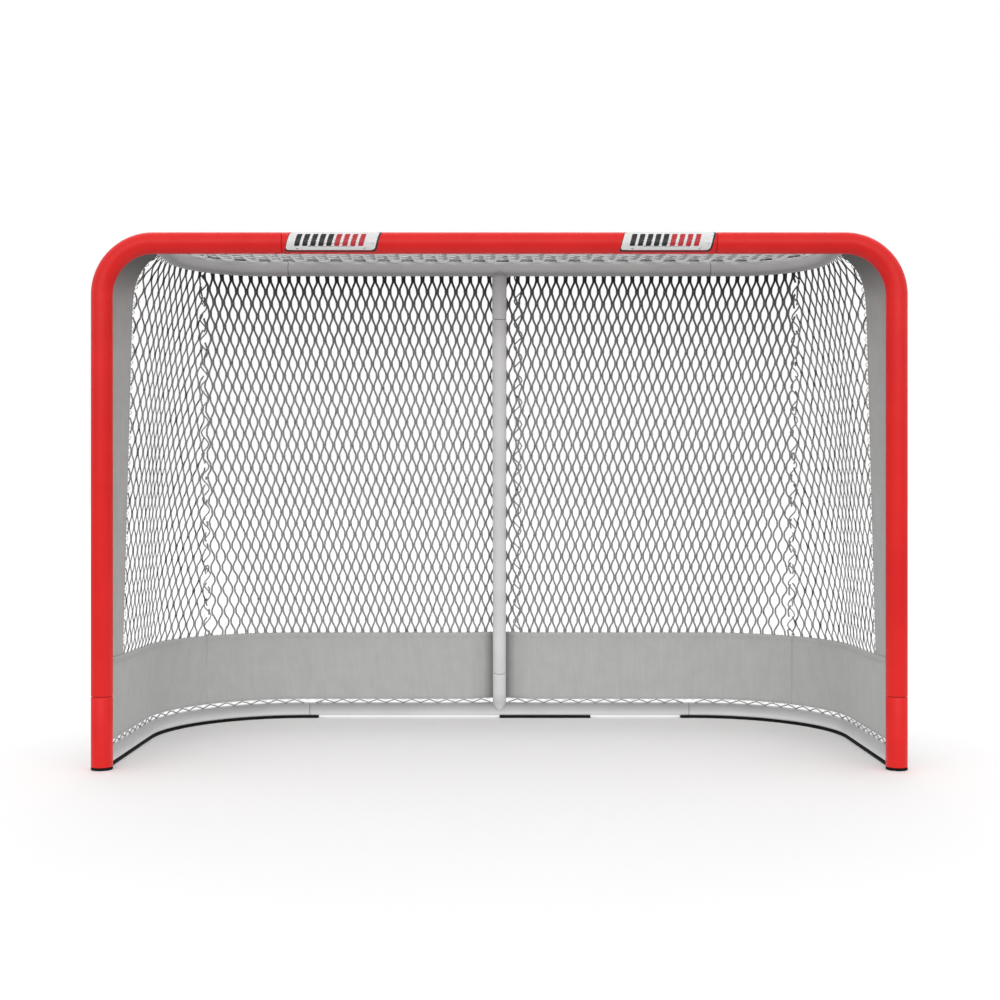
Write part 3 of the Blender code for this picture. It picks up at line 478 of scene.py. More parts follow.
def frame_reach(point):
    """How far a point lies from the red tube's axis, seen from in front."""
    x, z = abs(point.x), point.z
    if z < bend_start_z:
        return abs(x - post_x)
    if x < bend_end_x:
        return abs(z - bar_z)
    return abs(math.hypot(x - bend_end_x, z - bend_start_z) - top_bend)


def onto_frame(point, proud=0.0):
    """The point moved along Y onto the back of the red tube."""
    off = math.sqrt((front_radius + proud) ** 2 - frame_reach(point) ** 2)
    return Vector((point.x, front_y + off, point.z))


def rear_corner(depth, half_width, z, radius, steps):
    start = Vector((half_width, front_y, z))
    corner = Vector((half_width, front_y + depth, z))
    return bent_path(start, corner, Vector((rear_seam, front_y + depth, z)), radius, steps)


levels = {
    "base": rear_corner(base_depth, post_x, rear_z, base_bend, 36),
    "shelf": rear_corner(shelf_depth, shelf_x, bar_z, shelf_bend, 28),
}
coped_edges = []
for level, corner_path in levels.items():
    for name, side in both_sides:
        path = mirrored(corner_path, side)
        mouth = path[0][0]
        rings = tube_rings(path, Z, rear_radius, rear_wall, "plain", "spigot")[3:]
        rings[0] = [onto_frame(p) for p in ring(mouth, Y, Z, rear_radius)]
        rings[-1] = [onto_frame(p) for p in rings[-1]]
        coped_edges.append([onto_frame(p, 0.0008) for p in ring(mouth, Y, Z, rear_radius + bead_lift)])
        bare_steel_shade_ends(white_tube(f"{name}_{level}_corner", skin(rings)), len(path), both=False)

support_top = Vector((0, front_y + shelf_depth, bar_z))
support_foot = Vector((0, front_y + base_depth, rear_z))
support_way = (support_foot - support_top).normalized()
support_side = X.cross(support_way)


def stub_ring(middle, way, radius, saddle=0.0, short=0.0):
    """Ring of a stub round its axis, moved along it onto a tube of the saddle's radius, or back."""
    points = []
    for i in range(tube_sides):
        a = 2 * math.pi * i / tube_sides
        off = radius * math.sin(a)
        along = math.sqrt(max(saddle**2 - off**2, 0.0)) - short
        points.append(middle + X * radius * math.cos(a) + support_side * off + way * along)
    return points


stub_lip = ((0.0022, 0.0), (0.0011, 0.0004), (0.0006, 0.0010), (0.0004, 0.0015), (0.0004, rear_wall))
base_tip = support_foot - support_way * 0.120
shelf_tip = support_top + support_way * 0.131
for level, middle, tip in (("base", support_foot, base_tip), ("shelf", support_top, shelf_tip)):
    way = (tip - middle).normalized()
    ends = [(middle - X * rear_seam, X), (middle + X * rear_seam, X)]
    run = tube_rings(ends, Z, rear_radius, rear_wall)
    stub = [stub_ring(middle, way, rear_radius, rear_radius)]
    stub += [stub_ring(tip, way, rear_radius - less, short=short) for short, less in stub_lip]
    stub.append(stub_ring(middle, way, rear_radius - rear_wall, rear_radius))
    white_tube(f"{level}_centre_tee", skin(stub, bm=skin(run)))
    coped_edges.append(stub_ring(middle, way, rear_radius + bead_lift, rear_radius + 0.0012))
ends = [(shelf_tip, support_way), (base_tip, support_way)]
rings = tube_rings(ends, X, rear_radius, rear_wall, "spigot", "spigot")
bare_steel_shade_ends(white_tube("centre_support", skin(rings)), len(ends))

# Weld beads: each coped end is welded all round, in small overlapping ripples, and painted over with
# the white tube.


def node_tree(name, **inputs):
    """An empty Geometry Nodes tree with a geometry in and out, and named inputs, given by kind."""
    tree = bpy.data.node_groups.new(name, "GeometryNodeTree")
    tree.interface.new_socket("Geometry", in_out="INPUT", socket_type="NodeSocketGeometry")
    for kind, labels in inputs.items():
        for label in labels:
            tree.interface.new_socket(label, in_out="INPUT", socket_type=f"NodeSocket{kind}")
    tree.interface.new_socket("Geometry", in_out="OUTPUT", socket_type="NodeSocketGeometry")
    return tree, tree.nodes.new("NodeGroupInput").outputs


def close_tree(tree, geometry, material):
    """Ends a tree: shaded smooth, made real and given its material."""
    smooth = result(tree, "GeometryNodeSetShadeSmooth", Geometry=geometry)
    real = result(tree, "GeometryNodeRealizeInstances", Geometry=smooth)
    painted = result(tree, "GeometryNodeSetMaterial", Geometry=real, Material=material)
    tree.links.new(painted, tree.nodes.new("NodeGroupOutput").inputs[0])


def made_plain(piece):
    """Keeps what a piece's modifier makes as the piece's own plain mesh."""
    graph = bpy.context.evaluated_depsgraph_get()
    shape = piece.evaluated_get(graph)
    mesh = bpy.data.meshes.new_from_object(shape, preserve_all_data_layers=True, depsgraph=graph)
    piece.modifiers.clear()
    piece.data = mesh


def run_tree(name, start, tree, values, slot, *nodes):
    """Runs a tree on a starting mesh and keeps the result as one plain piece on the goal."""
    piece = bring_in(name, start)
    shape = piece.modifiers.new("shape", "NODES")
    shape.node_group = tree
    for item in tree.interface.items_tree:
        if item.in_out == "INPUT" and item.name in values:
            shape[item.identifier] = values[item.name]
    made_plain(piece)
    return fit(piece, nodes)


def swept(tree, line, width, sides):
    """A round wire or cord of a width along a line."""
    radius = numbers(tree, "MULTIPLY", width, 0.5)
    section = result(tree, "GeometryNodeCurvePrimitiveCircle", Resolution=sides, Radius=radius)
    return result(tree, "GeometryNodeCurveToMesh", Curve=line, Profile_Curve=section, Fill_Caps=True)


def lines_mesh(name, lines, closed=False):
    """Bare lines of points, as a mesh of edges only."""
    mesh = bpy.data.meshes.new(name)
    points, edges = [], []
    for line in lines:
        first = len(points)
        points += line
        edges += [(first + i, first + i + 1) for i in range(len(line) - 1)]
        if closed:
            edges.append((len(points) - 1, first))
    mesh.from_pydata(points, edges, [])
    return mesh


bead_sizes = ("Ripple spacing", "Ripple size")
tree, given = node_tree("weld_bead", Float=bead_sizes, Int=("Seed",), Material=("Metal",))
seams = result(tree, "GeometryNodeMeshToCurve", Mesh=given["Geometry"])
spacing = given["Ripple spacing"]
beads = result(tree, "GeometryNodeCurveToPoints", Curve=seams, Length=spacing, mode="LENGTH")
ripple = result(tree, "GeometryNodeMeshIcoSphere", Radius=given["Ripple size"], Subdivisions=2)
size = add(tree, "FunctionNodeRandomValue", Min=0.85, Max=1.15, Seed=given["Seed"]).outputs[1]
placed = result(tree, "GeometryNodeInstanceOnPoints", Points=beads, Instance=ripple, Scale=size)
close_tree(tree, placed, given["Metal"])
values = {"Ripple spacing": 0.0023, "Ripple size": 0.0021, "Seed": 4, "Metal": white_coat}
bead_lines = lines_mesh("coped_edges", coped_edges, closed=True)
mark_painted_shade_side(run_tree("tube_weld_beads", bead_lines, tree, values, "white_paint"))

# Feet and floor pads: black rubber. A plug foot closes each post, and strips under the white base
# keep it off the ice. The middle strip lies to the right of the support only.
pad_height = 0.00605
pad_half_width = 0.0125


def rubber_finish():
    material, tree = finish_material("black_rubber", {"Roughness": 0.72, "Specular IOR Level": 0.15})
    tint(tree, mottle(tree, 40.0, 6.0), (0.003, 0.003, 0.003), (0.009, 0.009, 0.0085))
    relief(tree, mottle(tree, 900.0, 2.0), 0.0002, 0.5)
    return material


def pad_ring(centre, way):
    across = way.cross(Z)
    outline = [(-pad_half_width, 0), (pad_half_width, 0), (pad_half_width, 0.0044), (0.0120, 0.0056)]
    outline.append((0.0108, pad_height))
    outline += [(-x, z) for x, z in outline[:1:-1]]
    return [Vector((centre.x, centre.y, 0)) + across * x + Z * z for x, z in outline]


rubber = rubber_finish()
foot_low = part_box("left_post_foot")[0].z
plug = [(foot_low, 0.0242), (0.0004, 0.0250), (0.0012, 0.0254), (0.0052, 0.0254), (pad_height, 0.0249)]
plug += [(pad_height, 0.0231), (0.0255, 0.0231), (0.0260, 0.0226)]
for name, side in both_sides:
    rings = [ring(Vector((side * post_x, front_y, z)), Z, Y, r) for z, r in plug]
    settle(f"{name}_post_plug", skin(rings, capped=True), rubber, "black_rubber", f"{name}_post_foot")
strip_ends = [(post_x, front_radius + 0.0003), (post_x, base_depth), (0.530, base_depth)]
strip_path = bent_path(*[Vector((x, front_y + y, rear_z)) for x, y in strip_ends], base_bend, 36)
strips = {name: mirrored(strip_path, side) for name, side in both_sides}
strips["centre"] = [(Vector((end.x, support_foot.y, 0)), X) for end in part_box("centre_floor_pad")]
for name, path in strips.items():
    rings = [pad_ring(p, way) for p, way in path]
    settle(f"{name}_floor_strip", skin(rings, capped=True), rubber, "black_rubber", f"{name}_floor_pad")

# Joint bolts: zinc-plated button heads with a hexagon socket, one through each slip joint but the
# support's two, on the sides that face away from the mouth.
head_sides = 24
dome = [(0.0, 0.0026), (0.0, 0.0052), (0.0006, 0.0055), (0.0016, 0.0053), (0.0026, 0.0045)]
dome += [(0.0033, 0.0032), (0.0035, 0.0024)]
socket_radius, socket_top, socket_floor = 0.0017, 0.0034, 0.0014


def zinc_finish(name, low, high, roughness):
    material, tree = finish_material(name, {"Roughness": roughness, "Metallic": 0.85})
    spangle = result(tree, "ShaderNodeTexVoronoi", Vector=place_on(tree), Scale=260.0)
    tint(tree, spangle, low, high, (0.1, 0.9))
    relief(tree, mottle(tree, 700.0, 3.0), 0.0001, 0.4)
    return material


def marked(tree, name, kind="FLOAT_VECTOR"):
    """Reads what the points of a tree's geometry carry under a name."""
    return result(tree, "GeometryNodeInputNamedAttribute", Name=name, data_type=kind)


def socket_ring(z):
    """The hexagon, with its flats on the even spots of each six."""
    points = []
    for i in range(head_sides):
        a, off_flat = 2 * math.pi * i / head_sides, abs((i + 2) % 4 - 2)
        reach = socket_radius / max(math.cos(math.pi / 12 * off_flat), 0.87)
        points.append(Vector((reach * math.cos(a), reach * math.sin(a), z)))
    return points


bolt_zinc = zinc_finish("bright_zinc", (0.42, 0.42, 0.43), (0.62, 0.62, 0.63), 0.34)
head_rings = [ring(Z * z, Z, Y, r, head_sides) for z, r in dome]
head_bm = skin(head_rings + [socket_ring(socket_top), socket_ring(socket_floor)], capped=True)
bmesh.ops.recalc_face_normals(head_bm, faces=head_bm.faces[:])
head_mesh = bpy.data.meshes.new("bolt_head")
head_bm.to_mesh(head_mesh)
head_bm.free()
bolt_head = bpy.data.objects.new("bolt_head", head_mesh)

bolt_back = spigot_length / 2
steep_way = Vector((0, 0.5, math.sqrt(0.75)))
bolts = []
for side in (-1, 1):
    post_way = Vector((side * math.sqrt(0.5), math.sqrt(0.5), 0))
    bolts += [
        (Vector((side * post_x, front_y, post_seam - bolt_back)), post_way, front_radius),
        (Vector((side * (bar_seam - bolt_back), front_y, bar_z)), Y, front_radius),
        (support_foot + X * side * (rear_seam - bolt_back), steep_way, rear_radius),
        (support_top + X * side * (rear_seam - bolt_back), steep_way, rear_radius),
    ]
seats = bpy.data.meshes.new("bolt_seats")
seats.from_pydata([place + way * (radius + 0.0003) for place, way, radius in bolts], [], [])
carry(seats, "way", [c for _, way, _ in bolts for c in way], "FLOAT_VECTOR")
tree, given = node_tree("joint_bolts", Object=("Head",), Material=("Metal",))
aim = result(tree, "FunctionNodeAlignRotationToVector", Vector=marked(tree, "way"))
head = add(tree, "GeometryNodeObjectInfo", Object=given["Head"]).outputs["Geometry"]
set_in = {"Points": given["Geometry"], "Instance": head, "Rotation": aim}
close_tree(tree, result(tree, "GeometryNodeInstanceOnPoints", **set_in), given["Metal"])
joints = ("post", "crossbar", "base", "shelf")
bolt_nodes = [f"{name}_{joint}_bolt" for name, _ in both_sides for joint in joints]
values = {"Head": bolt_head, "Metal": bolt_zinc}
run_tree("joint_bolt_heads", seats, tree, values, "zinc_steel", *bolt_nodes)

# The wall: nets and canvas hang on one slack surface, from the shelf tube down to the base tube. It
# follows the posts at the front, rounds the back corners, and bulges a little round the support.
lacing_height = 0.0115
hem_reach = front_radius + lacing_height
skirt_bottom = rear_z + rear_radius + lacing_height
skirt_top = skirt_bottom + 0.200
flap_reach = 0.150
low_lean, high_lean = 0.0113, 0.027
net_off = 0.0216
support_off = net_off / abs(support_way.z) + 0.0012
bulge_flat, bulge_slope = 0.022, 0.068


def mix(a, b, share):
    return a + (b - a) * share


def held(value, low=0.0, high=1.0):
    return min(max(value, low), high)


def wall_sizes(z):
    """Depth, half width and corner radius of the wall's outline at a height."""
    t = (z - rear_z) / (bar_z - rear_z)
    half_width = mix(post_x, shelf_x + net_off, t)
    return mix(base_depth, shelf_depth + net_off, t), half_width, mix(base_bend, shelf_bend + net_off, t)


def flap_edge_x(z):
    """The far edge of the post flap: it leans in, then is drawn in to the shelf tube."""
    if z < skirt_top:
        return mix(post_x, post_x - low_lean, (z - rear_z) / (skirt_top - rear_z))
    leaning = post_x - low_lean - high_lean * (z - skirt_top) / (bar_z - skirt_top)
    share = max(0.0, (z - bar_z + 2 * top_bend) / (2 * top_bend))
    return leaning - (post_x - low_lean - high_lean - shelf_x - net_off) * share**6


def frame_x(z):
    return bend_end_x + math.sqrt(top_bend**2 - held(z - bend_start_z, 0.0, top_bend) ** 2)


def side_runs(z):
    depth, _, radius = wall_sizes(z)
    return depth - radius - flap_reach, radius * math.pi / 4


def back_runs(z):
    _, half_width, radius = wall_sizes(z)
    return half_width - radius, radius * math.pi / 4


def wall_point(turn, z, side=1):
    """turn is -1 at the post, 0 at the flap's edge, 1 and 2 at the corner's ends, 3 mid-back."""
    depth, half_width, radius = wall_sizes(z)
    if turn < 0:
        x, y = mix(frame_x(z), flap_edge_x(z), 1 + turn), mix(hem_reach, flap_reach, 1 + turn)
        return Vector((side * x, front_y + y, z))
    straight, corner = side_runs(z)
    travelled = straight * min(turn, 1) + 2 * corner * max(turn - 1, 0)
    flare = (flap_edge_x(z) - half_width) * max(0.0, 1 - travelled / (straight + corner)) ** 4
    if turn <= 1:
        x, y = half_width + flare, mix(flap_reach, depth - radius, turn)
    elif turn <= 2:
        a = (turn - 1) * math.pi / 2
        x, y = half_width - radius + radius * math.cos(a) + flare, depth - radius + radius * math.sin(a)
    else:
        x = (half_width - radius) * (3 - turn)
        away = held((x - bulge_flat) / bulge_slope)
        t = (z - rear_z) / (bar_z - rear_z)
        y = depth + (support_off - net_off * t) * (1 - away * away * (3 - 2 * away))
    return Vector((side * x, front_y + y, z))


def wall_out(turn, z, side=1):
    """Level, and square to the wall, away from the inside of the goal."""
    step = 0.004
    a, b = wall_point(max(turn - step, -1), z, side), wall_point(min(turn + step, 3), z, side)
    return (b - a).cross(Z).normalized() * side


# Lacing rods: thin zigzag wire, spot-welded by its low bends along the tubes, for the canvas and the
# net to be tied to. It stops short of each joint so that the goal still comes apart.
wire = 0.0034
wire_seat = wire / 2 + 0.0002
pitch = 0.0504
joint_gap = 0.020
shelf_gap = rear_radius + 0.012
side_run, bend_run = base_depth - base_bend, base_bend * math.pi / 2
base_middle = base_depth - base_bend + base_bend * math.pi / 2 + post_x - base_bend
base_joint = base_middle - rear_seam
bend_angle = math.acos((shelf_x + shelf_gap - bend_end_x) / top_bend)
post_run = bend_start_z + top_bend * bend_angle
hem_angle = math.asin(net_off / hem_reach)
hem_way = Vector((0, math.cos(hem_angle), math.sin(hem_angle)))


def zigzag(bend, start, end):
    """Points of one rod, by a function that gives the low or high bend at a run along the tube."""
    turns = 2 * max(1, round((end - start) / pitch))
    return [bend(mix(start, end, i / turns), i % 2) for i in range(turns + 1)]


def base_turn(run):
    """The wall's turn at a way along the base tube, from the posts' axis plane to the middle."""
    if run <= flap_reach:
        return (run - hem_reach) / (flap_reach - hem_reach) - 1
    if run <= side_run:
        return (run - flap_reach) / (side_run - flap_reach)
    if run <= side_run + bend_run:
        return 1 + (run - side_run) / bend_run
    return 2 + (run - side_run - bend_run) / (post_x - base_bend)


def base_bends(run, high):
    turn = base_turn(run)
    axis, hem = wall_point(turn, rear_z), wall_point(turn, skirt_bottom)
    if turn > 2:
        axis = Vector(((post_x - base_bend) * (3 - turn), front_y + base_depth, rear_z))
    way = (hem - axis).normalized()
    return hem - way * wire_seat if high else axis + way * (rear_radius + wire_seat)


def post_axis(run):
    if run <= bend_start_z:
        return Vector((post_x, front_y, run))
    a = (run - bend_start_z) / top_bend
    return Vector((bend_end_x + top_bend * math.cos(a), front_y, bend_start_z + top_bend * math.sin(a)))


def post_bends(run, high):
    return post_axis(run) + Y * (hem_reach - wire_seat if high else front_radius + wire_seat)


def bar_bends(x, high):
    reach = hem_reach - wire_seat if high else front_radius + wire_seat
    return Vector((x, front_y, bar_z)) + hem_way * reach


def mark(tree, geometry, name, value, kind="FLOAT", domain="POINT"):
    """Lets the points of a tree's geometry carry a value under a name."""
    carried = {"Geometry": geometry, "Name": name, "Value": value, "data_type": kind, "domain": domain}
    return result(tree, "GeometryNodeStoreNamedAttribute", **carried)


rod_zinc = zinc_finish("dull_zinc", (0.30, 0.30, 0.31), (0.46, 0.46, 0.47), 0.5)
rods = [
    zigzag(base_bends, 0.050, base_joint - joint_gap),
    zigzag(base_bends, base_joint + joint_gap, base_middle - 0.028),
    zigzag(post_bends, 0.062, post_seam - joint_gap),
    zigzag(post_bends, post_seam + joint_gap, post_run),
    zigzag(bar_bends, bar_seam + joint_gap, shelf_x - shelf_gap),
]
rods += [[flipped(p, -1) for p in rod] for rod in rods]
rods.append(zigzag(bar_bends, joint_gap - bar_seam, bar_seam - joint_gap))
tree, given = node_tree("lacing_rod", Float=("Wire", "Bend", "Weld"), Material=("Metal",))
line = result(tree, "GeometryNodeMeshToCurve", Mesh=given["Geometry"])
rounding = {"Count": 5, "Radius": given["Bend"], "Limit_Radius": True}
bent = result(tree, "GeometryNodeFilletCurve", Curve=line, **rounding, mode="POLY")
rod_skin = swept(tree, bent, given["Wire"], 10)
even = numbers(tree, "MODULO", add(tree, "GeometryNodeSplineParameter").outputs["Index"], 2.0)
low_bend = result(tree, "FunctionNodeCompare", even, 0.5, operation="LESS_THAN")
line = mark(tree, line, "welded", low_bend, "BOOLEAN")
feet = result(tree, "GeometryNodeCurveToPoints", Curve=line, mode="EVALUATED")
blob = result(tree, "GeometryNodeMeshIcoSphere", Radius=given["Weld"], Subdivisions=2)
welded = {"Selection": marked(tree, "welded", "BOOLEAN"), "Scale": (1.5, 1.0, 0.7)}
welds = result(tree, "GeometryNodeInstanceOnPoints", Points=feet, Instance=blob, **welded)
both = add(tree, "GeometryNodeJoinGeometry")
tree.links.new(welds, both.inputs[0])
tree.links.new(rod_skin, both.inputs[0])
close_tree(tree, both.outputs[0], given["Metal"])
rod_parts = ("lower_post", "post", "crossbar_end", "base", "centre")
rod_nodes = [f"{name}_{part}_rod" for name, _ in both_sides for part in rod_parts] + ["crossbar_rod"]
values = {"Wire": wire, "Bend": 0.006, "Weld": 0.0024, "Metal": rod_zinc}
run_tree("lacing_rods", lines_mesh("rod_lines", rods), tree, values, "zinc_wire", *rod_nodes)

# Skirt and post flaps: grey coated canvas, with a fold sewn down along each free edge. The skirt is
# laced to the base rods, and the flaps close the net to the posts and follow the top bends.
canvas_gauge = 0.0007
hem_width = 0.022
corner_seam = 1.5
lap = 0.015 / bend_run


def canvas_finish():
    """Coated plain weave: fine threads, soft streaks down the cloth, and faint worn patches."""
    material, tree = finish_material("grey_canvas", {"Roughness": 0.86, "Sheen Weight": 0.15})
    place = place_on(tree, "UV")
    streaks = result(tree, "ShaderNodeMapping", Vector=place, Scale=(90.0, 9.0, 1.0))
    streak = result(tree, "ShaderNodeTexNoise", Vector=streaks, Scale=1.0, Detail=4.0)
    patch = result(tree, "ShaderNodeTexNoise", Vector=place, Scale=24.0, Detail=6.0)
    half = numbers(tree, "MULTIPLY", numbers(tree, "ADD", streak, patch), 0.5)
    tint(tree, half, (0.440, 0.446, 0.435), (0.505, 0.511, 0.499), (0.3, 0.7))
    thread = {"Vector": place, "Scale": 220.0, "Distortion": 0.6, "Detail": 1.0}
    weave = [add(tree, "ShaderNodeTexWave", **thread, bands_direction=way).outputs["Fac"] for way in "XY"]
    threads = relief(tree, numbers(tree, "MULTIPLY", *weave), 0.0003, 0.35)
    rumple = result(tree, "ShaderNodeBump", Height=streak, Distance=0.002, Strength=0.25)
    tree.links.new(rumple, threads.inputs["Normal"])
    return material


canvas = canvas_finish()
# Painted shade on the canvas's inner face: darker up the flaps' top bends, and a painted shadow beside
# the support.
paint_inner_shade(canvas, "Z", [(1.00, 1.0), (1.13, 0.86), (1.20, 0.42), (1.25, 0.20)])
paint_inner_shade(canvas, "X", [(0.019, 0.50), (0.030, 0.72), (0.046, 1.0)])


def folded(start, end, count):
    """Stations (value, lift) across a cloth whose two edges are folded back outside and sewn."""
    way = 1 if end > start else -1
    body = [(mix(start, end, i / count), 0.0) for i in range(1, count)]
    first = [(start + way * hem_width, 0.0009), (start + way * 0.001, 0.0009), (start, 0.0005)]
    last = [(end, 0.0005), (end - way * 0.001, 0.0009), (end - way * hem_width, 0.0009)]
    return first + [(start + way * 0.0006, 0.0)] + body + [(end - way * 0.0006, 0.0)] + last


def cloth(name, across, up, ripple, node, out_from=-1.0, out_to=3.0):
    """A hemmed canvas panel: (side, turn, lift) across the wall and (height, lift) up it."""
    bm = bmesh.new()
    uv = bm.loops.layers.uv.new("UVMap")
    rows, flat = [], {}
    for z, lift_z in up:
        row, run, last = [], 0.0, None
        for side, turn, lift_turn in across:
            point, out = wall_point(turn, z, side), wall_out(held(turn, out_from, out_to), z, side)
            run += (point - last).length if last else 0.0
            last = point
            vert = bm.verts.new(point + out * (lift_z + lift_turn + ripple(side, turn, z)))
            flat[vert] = (run, z)
            row.append(vert)
        rows.append(row)
    for low, high in zip(rows, rows[1:]):
        for i in range(len(low) - 1):
            bm.faces.new((low[i], low[i + 1], high[i + 1], high[i]))
    for face in bm.faces:
        for loop in face.loops:
            loop[uv].uv = flat[loop.vert]
    mesh = bpy.data.meshes.new(name)
    bm.to_mesh(mesh)
    area = sum(face.calc_area() for face in bm.faces)
    bm.free()
    mesh.shade_smooth()
    mesh.materials.append(canvas)
    piece = bring_in(name, mesh)
    gauge = piece.modifiers.new("gauge", "SOLIDIFY")
    gauge.thickness = canvas_gauge
    gauge.offset = 0
    made_plain(piece)
    fit(mark_painted_shade_side(piece, 1.0), [node])


def skirt_ripple(turn, z):
    """Small tension ripples: upright ones near the corners, and a slack unevenness elsewhere."""
    hold = math.sin(math.pi * held((z - skirt_bottom) / (skirt_top - skirt_bottom)))
    corner = math.exp(-(((turn - 1.45) / 0.42) ** 2))
    upright = noise.noise(Vector((turn * 26, z * 3, 1.7))) * corner
    slack = noise.noise(Vector((turn * 5, z * 9, 4.2)))
    return hold * (0.0022 * upright + 0.0014 * slack)


def side_skirt_lie(side, turn, z):
    """The side skirts' ends sink a little into the lap, so that the inside is smooth."""
    return 0.0008 * held((turn - corner_seam + lap / 2) * 2 / lap) + skirt_ripple(turn, z)


def back_skirt_lie(side, turn, z):
    """The back skirt's ends pass outside the side skirts, where they are sewn together."""
    lift = 0.0008 * held((corner_seam + lap / 5 - turn) * 5 / lap)
    return lift + skirt_ripple(turn + 4 * (side < 0), z)


def flap_lie(side, turn, z):
    ripple = 0.0016 * noise.noise(Vector((turn * 2, z * 5, 7.7)))
    return ripple * math.sin(math.pi * held(turn + 1)) + 0.0009


def spread(start, end, step):
    count = max(1, round(abs(end - start) / step))
    return [mix(start, end, i / count) for i in range(count + 1)]


def round_the_back(turns):
    """(side, turn) from the right, past the middle of the back, to the left."""
    return [(1, turn) for turn in turns] + [(-1, turn) for turn in reversed(turns[:-1])]


skirt_up = folded(skirt_bottom, skirt_top, 16)
side_turns = spread(-1, 0, 0.08) + spread(0, 1, 0.05)[1:] + spread(1, corner_seam, 0.018)[1:]
back_turns = spread(corner_seam - lap, 2, 0.018) + spread(2, 2.82, 0.05)[1:] + spread(2.82, 3, 0.012)[1:]
for name, side in both_sides:
    across = [(side, turn, 0.0) for turn in side_turns]
    cloth(f"{name}_skirt_canvas", across, skirt_up, side_skirt_lie, f"{name}_skirt")
across = [(side, turn, 0.0) for side, turn in round_the_back(back_turns)]
cloth("back_skirt_canvas", across, skirt_up, back_skirt_lie, "back_skirt")
flap_end = math.acos((shelf_x + net_off - bend_end_x) / top_bend)
flap_up = [(z, 0.0) for z in spread(skirt_top - 0.012, bend_start_z, 0.03)]
flap_up += [(bend_start_z + top_bend * math.sin(a), 0.0) for a in spread(0, flap_end, 0.07)[1:]]
for name, side in both_sides:
    across = []
    for reach, lift in folded(hem_reach, flap_reach, 9):
        across.append((side, min((reach - hem_reach) / (flap_reach - hem_reach) - 1, -1e-6), lift))
    cloth(f"{name}_flap_canvas", across, flap_up, flap_lie, f"{name}_post_flap", -0.995, -0.005)

# Nets: knotless grey cord in long diamonds. Two cords run side by side where diamonds meet, then part.
# There are two side panels, two back panels with a join right of the support, and a panel on top.
cell_width, cell_height = 0.02528, 0.0618
cord_width, side_cord_width = 0.0057, 0.0050
side_by_side = 0.012
node_level = 1.2205 - 20 * cell_height
net_low, net_high = skirt_top - 0.010, bar_z
seam_gap = 0.001
side_start, side_gather, gather_per_metre = 0.003, 0.742, 0.30
back_join, join_lap, back_shift = 0.0505, 0.0015, 0.0014
corner_pull, pull_top, pull_fall = 0.0195, 1.3, 0.663
pull_reach, pull_width = 0.165, 0.158
hem_overlap, over_hem = 0.012, 0.0040


def cord_finish(name, low, high, darkened_from=0.67):
    """Braided cord: slanted plaits, flecks of light and dark, and here and there a short stretch darkened
    almost to black.
    """
    material, tree = finish_material(name, {"Roughness": 0.8, "Sheen Weight": 0.1})
    tint(tree, mottle(tree, 210.0, 5.0, Roughness=0.7), low, high, (0.34, 0.66))
    shaded_by(tree, ranged(tree, mottle(tree, 55.0, 2.0), darkened_from, darkened_from + 0.07, 1.0, 0.25))
    slanted = {"Scale": 3.0, "Distortion": 0.8, "bands_direction": "DIAGONAL"}
    plait = add(tree, "ShaderNodeTexWave", Vector=place_on(tree, "UV"), **slanted)
    relief(tree, plait.outputs["Fac"], 0.0006, 0.6)
    return material


cord = cord_finish("net_cord", (0.140, 0.141, 0.143), (0.50, 0.50, 0.505))
# Painted shade on the nets' inner faces: the back nets darken towards the shelf and take a painted shadow
# beside the support, and the side nets darken towards the shelf.
cord_shade = [(0.90, 1.0), (0.98, 0.86), (1.09, 0.60), (1.14, 0.50)]
cord_shade += [(1.167, 0.38), (1.193, 0.21), (1.22, 0.03), (1.25, 0.05)]
paint_inner_shade(cord, "Z", cord_shade)
paint_inner_shade(cord, "X", [(0.019, 0.45), (0.030, 0.70), (0.046, 1.0)])
side_cord = cord_finish("side_net_cord", (0.17, 0.171, 0.173), (0.56, 0.56, 0.565), 0.55)
paint_inner_shade(side_cord, "Z", [(0.98, 1.0), (1.12, 0.62), (1.20, 0.25), (1.25, 0.08)])
top_cord = cord_finish("faded_net_cord", (0.26, 0.26, 0.265), (0.56, 0.56, 0.56))


